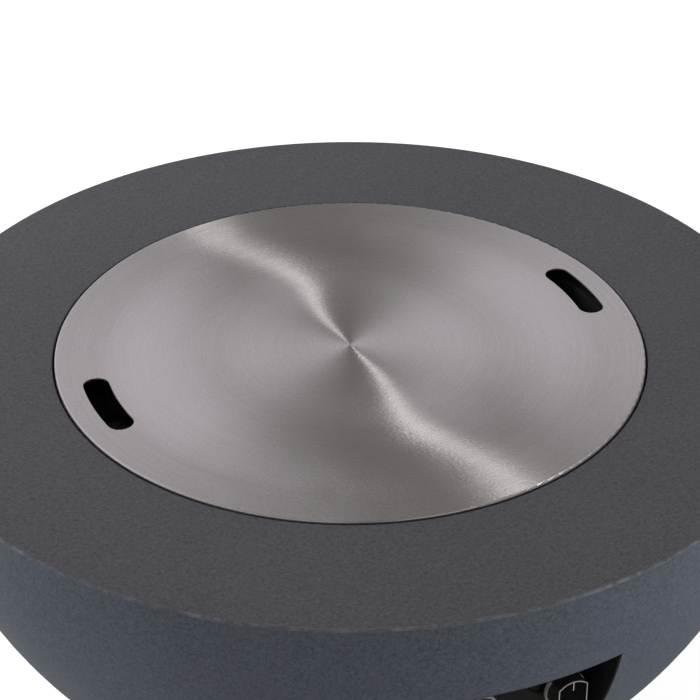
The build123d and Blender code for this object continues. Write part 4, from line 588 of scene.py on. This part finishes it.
def metal_finish(
    name, tint, rough, spread=0.18, grain=900.0, depth=0.00003, second=None, patch=60.0, metal=1.0
):
    """Plain metal with fine marks, and patches of a second tint where one is given"""
    finish = Finish(name)
    place = finish.place()
    fine = finish.noise(place, grain, detail=3.0, roughness=0.6)
    smear = finish.noise(place, patch, detail=4.0, roughness=0.6)
    body = tuple(tint)
    if second is not None:
        body = finish.mix(smear.within(0.42, 0.68), body, tuple(second))
    body = finish.shade(body, 1.0 - spread / 2 + fine * spread * 0.6 + smear * spread * 0.4)
    dull = rough - 0.06 + fine * 0.06 + smear * 0.08
    relief = finish.bump(fine, depth, strength=0.6)
    return finish.surface(Base_Color=body, Metallic=metal, Roughness=dull, Normal=relief)


def moulded_finish(name, tint, rough, grain=700.0, depth=0.00006, specular=0.5, coat=0.0):
    """Plastic, rubber, paint or ceramic with a fine moulded or sprayed grain"""
    finish = Finish(name)
    place = finish.place()
    fine = finish.noise(place, grain, detail=2.0, roughness=0.55)
    wide = finish.noise(place, grain / 18.0, detail=3.0, roughness=0.6)
    body = finish.shade(tuple(tint), 0.80 + fine * 0.2 + wide * 0.2)
    dull = rough - 0.06 + fine * 0.05 + wide * 0.09
    relief = finish.bump(fine, depth, strength=0.6)
    return finish.surface(
        Base_Color=body,
        Roughness=dull,
        Specular_IOR_Level=specular,
        Coat_Weight=coat,
        Coat_Roughness=0.06,
        Normal=relief,
    )


def hose_finish(look):
    """Rubber hose with a woven cover: two sets of threads that cross"""
    finish = Finish("hose_rubber")
    place = finish.place()
    x, y, z = finish.parts(place)
    one = finish.math("SINE", (x + y + z * HOSE_SLANT) * HOSE_THREADS)
    other = finish.math("SINE", (x - y - z * HOSE_SLANT) * HOSE_THREADS)
    weave = one * other * 0.5 + 0.5
    fine = finish.noise(place, scale=800.0, detail=2.0, roughness=0.5)
    body = finish.shade(tuple(look.hose_colour), 0.55 + weave * 0.5 + fine * 0.3)
    relief = finish.bump(weave, distance=0.00025, strength=0.6)
    return finish.surface(Base_Color=body, Roughness=0.55 + fine * 0.15, Normal=relief)


def lava_finish(look):
    """Gritty lava with reddish faces and pits of two sizes, darkened inside as painted shade"""
    finish = Finish("lava_stone")
    place = finish.place()
    drift = finish.noise(place, scale=26.0, detail=4.0, roughness=0.6)
    grit = finish.noise(place, scale=420.0, detail=3.0, roughness=0.65)
    pit = 1.0 - finish.cells(place, scale=260.0).within(0.12, 0.34)
    wide_pit = 1.0 - finish.cells(place, scale=110.0).within(0.08, 0.26)
    body = finish.mix(drift.within(0.50, 0.72), tuple(look.stone_colour), tuple(look.rust_colour))
    body = finish.shade(body, 0.55 + grit * 0.5 + drift * 0.4)
    # Painted shade: both sizes of pit are darkened inside, as well as sunk in the bump
    body = finish.mix(pit * 0.55, body, tuple(look.pit_shade_colour))
    body = finish.mix(wide_pit * 0.65, body, tuple(look.wide_pit_shade_colour))
    height = grit * 0.35 - pit * 0.5 - wide_pit
    relief = finish.bump(height, distance=0.0022, strength=0.9)
    return finish.surface(Base_Color=body, Roughness=0.92, Specular_IOR_Level=0.25, Normal=relief)


def fibre_finish(look):
    """Pale fibre with threads along Y"""
    finish = Finish("fibre_seal")
    thread_place = finish.stretched(finish.parts(finish.place()), SEAL_THREADS)
    thread = finish.noise(thread_place, 1.0, detail=3.0, roughness=0.6)
    body = finish.mix(thread, tuple(look.gap_colour), tuple(look.fibre_colour))
    relief = finish.bump(thread, distance=0.0003, strength=0.7)
    return finish.surface(Base_Color=body, Roughness=0.95, Specular_IOR_Level=0.2, Normal=relief)


def battery_finish(look):
    """Printed metal jacket with a bright band at one end"""
    finish = Finish("battery_jacket")
    place = finish.place()
    _, y, _ = finish.parts(place)
    band = (BATTERY_END - y).within(*BATTERY_BAND)
    fine = finish.noise(place, scale=900.0, detail=2.0, roughness=0.5)
    body = finish.mix(band, tuple(look.jacket_colour), tuple(look.band_colour))
    body = finish.shade(body, 0.85 + fine * 0.3)
    return finish.surface(Base_Color=body, Metallic=0.6, Roughness=0.30 + fine * 0.12)


def turned_steel_finish(name, look):
    return metal_finish(name, look.steel_colour, rough=0.26, spread=0.14, grain=1200.0, depth=0.00002)


# Modelling helpers


def clear_selection():
    if bpy.context.object and bpy.context.object.mode != "OBJECT":
        bpy.ops.object.mode_set(mode="OBJECT")
    bpy.ops.object.select_all(action="DESELECT")


def select_only(*pieces):
    clear_selection()
    for piece in pieces:
        piece.select_set(True)
    bpy.context.view_layer.objects.active = pieces[0]


def apply_modifier(piece, name, kind, **settings):
    modifier = piece.modifiers.new(name, kind)
    for key, value in settings.items():
        setattr(modifier, key, value)
    bpy.ops.object.modifier_apply(modifier=modifier.name)


def apply_place(location=False, rotation=False, scale=False):
    bpy.ops.object.transform_apply(location=location, rotation=rotation, scale=scale)


def corners(points):
    """The lowest and the highest corner of the box round some points"""
    low = Vector([min(point[axis] for point in points) for axis in range(3)])
    high = Vector([max(point[axis] for point in points) for axis in range(3)])
    return low, high


def stone_boxes():
    """The box of each CAD stone: triangles that share a corner point belong to one stone"""
    mesh = frame["nodes"]["lava_stones"].data
    owner = {}

    def root(key):
        while owner[key] != key:
            owner[key] = owner[owner[key]]
            key = owner[key]
        return key

    keys = [tuple(round(value, POINT_DIGITS) for value in vertex.co) for vertex in mesh.vertices]
    for key in keys:
        owner.setdefault(key, key)
    for polygon in mesh.polygons:
        first, *others = (root(keys[index]) for index in polygon.vertices)
        for other in others:
            owner[root(other)] = root(first)
    groups = {}
    for key in owner:
        groups.setdefault(root(key), []).append(key)
    return sorted((corners(points) for points in groups.values()), key=lambda box: tuple(box[0]))


def model_stone(number):
    """One broken lava stone of size 1: a ball with flat breaks, a lumpy skin and open pits"""
    dice = random.Random(STONE_SEED + number)
    clear_selection()
    bpy.ops.mesh.primitive_ico_sphere_add(subdivisions=4, radius=0.5)
    stone = bpy.context.object
    stone.name = f"stone_kind_{number}"
    bpy.ops.object.mode_set(mode="EDIT")
    for _ in range(STONE_BREAKS):
        bpy.ops.mesh.select_all(action="SELECT")
        normal = Vector((dice.uniform(-1, 1), dice.uniform(-1, 1), dice.uniform(-0.9, 0.9))).normalized()
        reach = dice.uniform(BREAK_NEAR, BREAK_FAR)
        bpy.ops.mesh.bisect(plane_co=normal * reach, plane_no=normal, use_fill=True, clear_outer=True)
    bpy.ops.object.mode_set(mode="OBJECT")
    apply_modifier(stone, "even", "REMESH", mode="VOXEL", voxel_size=STONE_VOXEL)
    lumps = bpy.data.textures.new(f"lumps_{number}", "CLOUDS")
    lumps.noise_scale = LUMP_SIZE
    lumps.noise_depth = 2
    apply_modifier(stone, "lumps", "DISPLACE", texture=lumps, strength=LUMP_HEIGHT, mid_level=0.5)
    pits = bpy.data.textures.new(f"pits_{number}", "VORONOI")
    pits.noise_scale = PIT_SIZE
    apply_modifier(stone, "pits", "DISPLACE", texture=pits, strength=PIT_DEPTH, mid_level=0.4)
    apply_modifier(stone, "thin", "DECIMATE", ratio=STONE_KEPT_FACES)
    low, high = corners([vertex.co for vertex in stone.data.vertices])
    size = high - low
    stone.location = -(low + high) / 2
    apply_place(location=True)
    stone.scale = (1 / size.x, 1 / size.y, 1 / size.z)
    apply_place(scale=True)
    return stone


def model_stones():
    """All the stones as one piece: copies of a few kinds, each fitted to the box of a CAD stone"""
    kinds = [model_stone(number) for number in range(STONE_KINDS)]
    stones = []
    for number, (low, high) in enumerate(stone_boxes()):
        stone = kinds[number % STONE_KINDS].copy()
        stone.data = stone.data.copy()
        bpy.context.collection.objects.link(stone)
        stone.location = (low + high) / 2
        stone.scale = (high - low) * STONE_FILL
        stones.append(stone)
    select_only(*stones)
    apply_place(location=True, scale=True)
    bpy.ops.object.join()
    rocks = bpy.context.object
    rocks.name = "lava_rocks"
    apply_place(location=True, rotation=True, scale=True)
    bpy.ops.object.shade_smooth_by_angle(angle=STONE_CREASE)
    for kind in kinds:
        bpy.data.objects.remove(kind)
    return rocks


def model_spring(node, wire, turns):
    """A coil spring along Y that fills the box of its CAD node: a round section screwed about the axis"""
    low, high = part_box(node)
    coil = (high.x - low.x) / 2 - wire
    pitch = (high.y - low.y - 2 * wire) / turns
    clear_selection()
    bpy.ops.mesh.primitive_circle_add(vertices=WIRE_SIDES, radius=wire, location=(coil, 0.0, 0.0))
    spring = bpy.context.object
    apply_place(location=True)
    apply_modifier(
        spring,
        "coil",
        "SCREW",
        axis="Y",
        steps=TURN_STEPS,
        render_steps=TURN_STEPS,
        angle=-2 * math.pi,
        screw_offset=pitch,
        iterations=turns,
        use_merge_vertices=False,
    )
    bpy.ops.object.mode_set(mode="EDIT")
    bpy.ops.mesh.select_all(action="SELECT")
    bpy.ops.mesh.fill_holes(sides=0)
    bpy.ops.mesh.select_all(action="SELECT")
    bpy.ops.mesh.normals_make_consistent(inside=False)
    bpy.ops.object.mode_set(mode="OBJECT")
    spring.location = ((low.x + high.x) / 2, low.y + wire, (low.z + high.z) / 2)
    apply_place(location=True)
    bpy.ops.object.shade_smooth_by_angle(angle=WIRE_CREASE)
    return spring


# Operators


class FIREPIT_OT_stage(bpy.types.Operator):
    """Floor, light from all round, lamps and camera"""

    bl_idname = "firepit.stage"
    bl_label = "Studio"

    def execute(self, context):
        look = context.scene.fire_pit_studio
        self.make_floor(look)
        self.make_world(look)
        for lamp in LAMPS:
            self.make_lamp(*lamp)
        self.make_camera(context)
        context.scene.view_settings.view_transform = "Standard"
        return {"FINISHED"}

    def make_floor(self, look):
        """A pale round floor, whitened where the camera sees it"""
        clear_selection()
        bpy.ops.mesh.primitive_circle_add(vertices=FLOOR_SIDES, radius=look.floor_size, fill_type="NGON")
        floor = bpy.context.object
        floor.name = "studio_floor"
        bpy.ops.object.mode_set(mode="EDIT")
        bpy.ops.mesh.inset(thickness=look.floor_size * FLOOR_INSET)
        bpy.ops.object.mode_set(mode="OBJECT")
        finish = Finish("studio_floor")
        tone = finish.noise(finish.place(), scale=3.0, detail=3.0, roughness=0.5)
        paint = finish.shade(tuple(look.floor_colour), 0.99 + tone * 0.02)
        matt = finish.node("ShaderNodeBsdfDiffuse", sockets={"Color": paint})
        glow = finish.node("ShaderNodeEmission", sockets={"Color": WHITE, "Strength": FLOOR_GLOW})
        camera = finish.node("ShaderNodeLightPath", output="Is Camera Ray")
        both = finish.node("ShaderNodeMixShader", sockets={"Fac": camera * FLOOR_WHITE, 1: matt, 2: glow})
        floor.data.materials.append(finish.close(both))

    def make_world(self, look):
        """White to the camera, an even fill on matt surfaces, and pale side walls for shiny ones to mirror"""
        sky = Finish("studio_light", bpy.data.worlds, "ShaderNodeOutputWorld")
        camera = sky.node("ShaderNodeLightPath", output="Is Camera Ray")
        glossy = sky.node("ShaderNodeLightPath", output="Is Glossy Ray")
        x, y, up = sky.parts(sky.place("Generated"))
        across = x * SIGHT_Y - y * SIGHT_X
        ahead = x * SIGHT_X + y * SIGHT_Y
        aside = across * WALL_COS + (abs(ahead) - WALL_AHEAD) * WALL_SIN
        left = (0.0 - aside).within(*LEFT_EDGE)
        right = aside.within(*RIGHT_EDGE) * (1.0 - aside.within(*RIGHT_FADE)) * RIGHT_GAIN
        far = ahead.within(*NEAR_EDGE)
        near = (1.0 - far) * up.within(*NEAR_FOOT) * NEAR_GAIN
        walls = (left + right) * up.within(*WALL_TOP) * (far + near)
        mirrored = look.mirrored + walls * look.walls
        level = look.fill + camera * (1.0 - look.fill) + glossy * (mirrored - look.fill)
        tint = sky.mix(glossy, WHITE, sky.mix(walls, ROOM_TINT, WALL_TINT))
        shine = sky.node("ShaderNodeBackground", sockets={"Color": tint, "Strength": level})
        bpy.context.scene.world = sky.close(shine)

    def make_lamp(self, name, place, width, height, power, mirrored):
        """An area lamp aimed at the rim's middle, which lights either matt or shiny surfaces"""
        lamp = bpy.data.lights.new(name, "AREA")
        lamp.shape = "RECTANGLE"
        lamp.size = width
        lamp.size_y = height
        lamp.energy = power
        piece = bpy.data.objects.new(name, lamp)
        bpy.context.collection.objects.link(piece)
        piece.location = place
        piece.visible_camera = False
        piece.visible_glossy = mirrored
        piece.visible_diffuse = not mirrored
        aim = Vector((0.0, 0.0, RIM_TOP)) - Vector(place)
        piece.rotation_euler = aim.to_track_quat("-Z", "Y").to_euler()

    def make_camera(self, context):
        camera = bpy.data.cameras.new("camera")
        camera.sensor_width = CAMERA_SENSOR
        camera.lens = CAMERA_LENS
        piece = bpy.data.objects.new("camera", camera)
        context.collection.objects.link(piece)
        piece.location = CAMERA_PLACE
        piece.rotation_euler = Vector(CAMERA_AIM).to_track_quat("-Z", "Y").to_euler()
        context.scene.camera = piece


class FIREPIT_OT_bowl(bpy.types.Operator):
    """Cast concrete on the bowl, its base ring and the ledge, and rubber on the feet"""

    bl_idname = "firepit.bowl"
    bl_label = "Bowl"

    def execute(self, context):
        look = context.scene.fire_pit_concrete
        dress(concrete_finish(look), "bowl_shell", "rim_slab", "base_ring", "pan_ledge")
        rubber = moulded_finish(
            "foot_rubber", look.foot_colour, rough=0.70, grain=500.0, depth=0.00012, specular=0.4
        )
        dress(rubber, "rubber_feet")
        return {"FINISHED"}


class FIREPIT_OT_lid(bpy.types.Operator):
    """Circular brushed steel on the lid"""

    bl_idname = "firepit.lid"
    bl_label = "Lid"

    def execute(self, context):
        dress(brushed_disc_finish(context.scene.fire_pit_lid), "lid")
        return {"FINISHED"}


class FIREPIT_OT_controls(bpy.types.Operator):
    """Finishes of the control box, the panel, the knob and the igniter"""

    bl_idname = "firepit.controls"
    bl_label = "Controls"

    def execute(self, context):
        look = context.scene.fire_pit_controls
        dress(panel_finish(look), "control_panel")
        paint = moulded_finish(
            "box_paint", look.box_colour, rough=0.60, grain=900.0, depth=0.00008, specular=0.2
        )
        dress(paint, "control_box")
        dress(knob_finish(look), "knob")
        satin = moulded_finish(
            "button_satin", look.knob_colour, rough=0.40, grain=1500.0, depth=0.00003, specular=0.1
        )
        dress(satin, "igniter_button")
        polish = {"spread": 0.08, "grain": 1400.0, "depth": 0.000006, "metal": 0.5}
        dress(metal_finish("bright_trim", look.trim_colour, rough=0.24, **polish), "knob_ring")
        dress(metal_finish("face_line", look.line_colour, rough=0.26, **polish), "knob_trim")
        dress(bezel_finish(look), "igniter_bezel")
        plastic = moulded_finish("barrel_plastic", look.barrel_colour, rough=0.52)
        dress(plastic, "igniter_barrel", "igniter_nut")
        dress(battery_finish(look), "battery")
        return {"FINISHED"}


class FIREPIT_OT_burner(bpy.types.Operator):
    """Finishes of the pan, its seal, the burner, the guard and the sensors"""

    bl_idname = "firepit.burner"
    bl_label = "Burner"

    def execute(self, context):
        look = context.scene.fire_pit_burner
        paint = moulded_finish(
            "pan_paint", look.pan_colour, rough=0.62, grain=420.0, depth=0.00015, specular=0.35
        )
        dress(paint, "burner_pan")
        dress(fibre_finish(look), "pan_seal")
        heated = metal_finish(
            "heated_steel",
            look.steel_colour,
            rough=0.36,
            spread=0.22,
            grain=800.0,
            depth=0.00004,
            second=look.heated_colour,
            patch=38.0,
        )
        dress(heated, "ring_burner", "burner_saddles", "electrode_wire", "thermocouple")
        sheet = metal_finish("sheet_steel", look.steel_colour, rough=0.34)
        dress(sheet, "sensor_bracket", "sensor_guard")
        glaze = moulded_finish(
            "glazed_ceramic", look.glaze_colour, rough=0.20, grain=300.0, depth=0.00004, coat=0.3
        )
        dress(glaze, "spark_electrode")
        return {"FINISHED"}


class FIREPIT_OT_stones(bpy.types.Operator):
    """Broken lava stones in the places of the CAD stones"""

    bl_idname = "firepit.stones"
    bl_label = "Lava stones"

    def execute(self, context):
        lava = lava_finish(context.scene.fire_pit_burner)
        rocks = model_stones()
        rocks.data.materials.clear()
        rocks.data.materials.append(lava)
        dress(lava, "lava_stones")
        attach(rocks, "fire_pit")
        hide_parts("lava_stones")
        return {"FINISHED"}


class FIREPIT_OT_gas_line(bpy.types.Operator):
    """Finishes of the tap, the hose, the jet and the leads"""

    bl_idname = "firepit.gas_line"
    bl_label = "Gas line"

    def execute(self, context):
        look = context.scene.fire_pit_gas_line
        alloy = metal_finish(
            "cast_alloy", look.alloy_colour, rough=0.52, spread=0.24, grain=420.0, depth=0.00016
        )
        dress(alloy, "gas_tap")
        brass = metal_finish(
            "brass", look.brass_colour, rough=0.28, spread=0.16, grain=700.0, second=look.dark_brass_colour
        )
        dress(brass, "gas_jet", "hose_nuts", "inlet_nipple", "safety_magnet", "thermocouple_nut")
        dress(brass, "push_rod", "igniter_terminal")
        copper = metal_finish(
            "copper_lead",
            look.copper_colour,
            rough=0.34,
            spread=0.2,
            grain=600.0,
            second=look.dark_copper_colour,
        )
        dress(copper, "thermocouple_lead")
        dress(hose_finish(look), "gas_hose")
        silicone = moulded_finish("silicone_lead", look.lead_colour, rough=0.45, grain=600.0, depth=0.00005)
        dress(silicone, "electrode_lead")
        dress(turned_steel_finish("turned_steel", look), "tap_spindle")
        return {"FINISHED"}


class FIREPIT_OT_springs(bpy.types.Operator):
    """Coil springs behind the knob and the button, in the places of their CAD nodes"""

    bl_idname = "firepit.springs"
    bl_label = "Springs"

    def execute(self, context):
        material = turned_steel_finish("spring_wire", context.scene.fire_pit_gas_line)
        for spring in SPRINGS:
            self.fit(material, *spring)
        return {"FINISHED"}

    def fit(self, material, name, node, joint, wire, turns):
        """Models one spring in the place of its CAD node and reads the joint's travel"""
        spring = model_spring(node, wire, turns)
        spring.name = name
        spring.data.materials.append(material)
        dress(material, node)
        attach(spring, "fire_pit")
        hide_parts(node)
        low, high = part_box(node)
        travel = next(entry["range_m"][1] for entry in frame["joints"] if entry["name"] == joint)
        length_at_rest = high.y - low.y
        1.0 - travel / length_at_rest
        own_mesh(spring)


class FIREPIT_OT_fixings(bpy.types.Operator):
    """Zinc on the screws, the locknut and the mixer tube"""

    bl_idname = "firepit.fixings"
    bl_label = "Fixings"

    def execute(self, context):
        look = context.scene.fire_pit_gas_line
        zinc = metal_finish(
            "zinc",
            look.zinc_colour,
            rough=0.32,
            spread=0.16,
            grain=500.0,
            depth=0.00004,
            second=look.dark_zinc_colour,
            patch=90.0,
        )
        dress(zinc, "pan_screws", "saddle_screws", "sensor_screws", "control_box_screws", "panel_screws")
        dress(zinc, "tap_screws", "foot_screws", "burner_locknut", "mixer_tube")
        return {"FINISHED"}


class FIREPIT_PT_sidebar(bpy.types.Panel):
    """Lists the fire pit's operators"""

    bl_idname = "FIREPIT_PT_sidebar"
    bl_label = "Fire Pit"
    bl_space_type = "VIEW_3D"
    bl_region_type = "UI"
    bl_category = "Fire Pit"

    def draw(self, context):
        for operator in OPERATORS:
            self.layout.operator(operator.bl_idname)


LOOKS = {
    "fire_pit_concrete": ConcreteLook,
    "fire_pit_lid": LidLook,
    "fire_pit_controls": ControlLook,
    "fire_pit_burner": BurnerLook,
    "fire_pit_gas_line": GasLineLook,
    "fire_pit_studio": StudioLook,
}
OPERATORS = (
    FIREPIT_OT_stage,
    FIREPIT_OT_bowl,
    FIREPIT_OT_lid,
    FIREPIT_OT_controls,
    FIREPIT_OT_burner,
    FIREPIT_OT_stones,
    FIREPIT_OT_gas_line,
    FIREPIT_OT_springs,
    FIREPIT_OT_fixings,
)


def register():
    for look in LOOKS.values():
        bpy.utils.register_class(look)
    for operator in OPERATORS:
        bpy.utils.register_class(operator)
    bpy.utils.register_class(FIREPIT_PT_sidebar)
    for name, look in LOOKS.items():
        setattr(bpy.types.Scene, name, bpy.props.PointerProperty(type=look))


def unregister():
    for name in LOOKS:
        delattr(bpy.types.Scene, name)
    bpy.utils.unregister_class(FIREPIT_PT_sidebar)
    for operator in reversed(OPERATORS):
        bpy.utils.unregister_class(operator)
    for look in reversed(LOOKS.values()):
        bpy.utils.unregister_class(look)


def main():
    register()
    bpy.ops.firepit.stage()
    bpy.ops.firepit.bowl()
    bpy.ops.firepit.lid()
    bpy.ops.firepit.controls()
    bpy.ops.firepit.burner()
    bpy.ops.firepit.stones()
    bpy.ops.firepit.gas_line()
    bpy.ops.firepit.springs()
    bpy.ops.firepit.fixings()


if __name__ == "__main__":
    main()
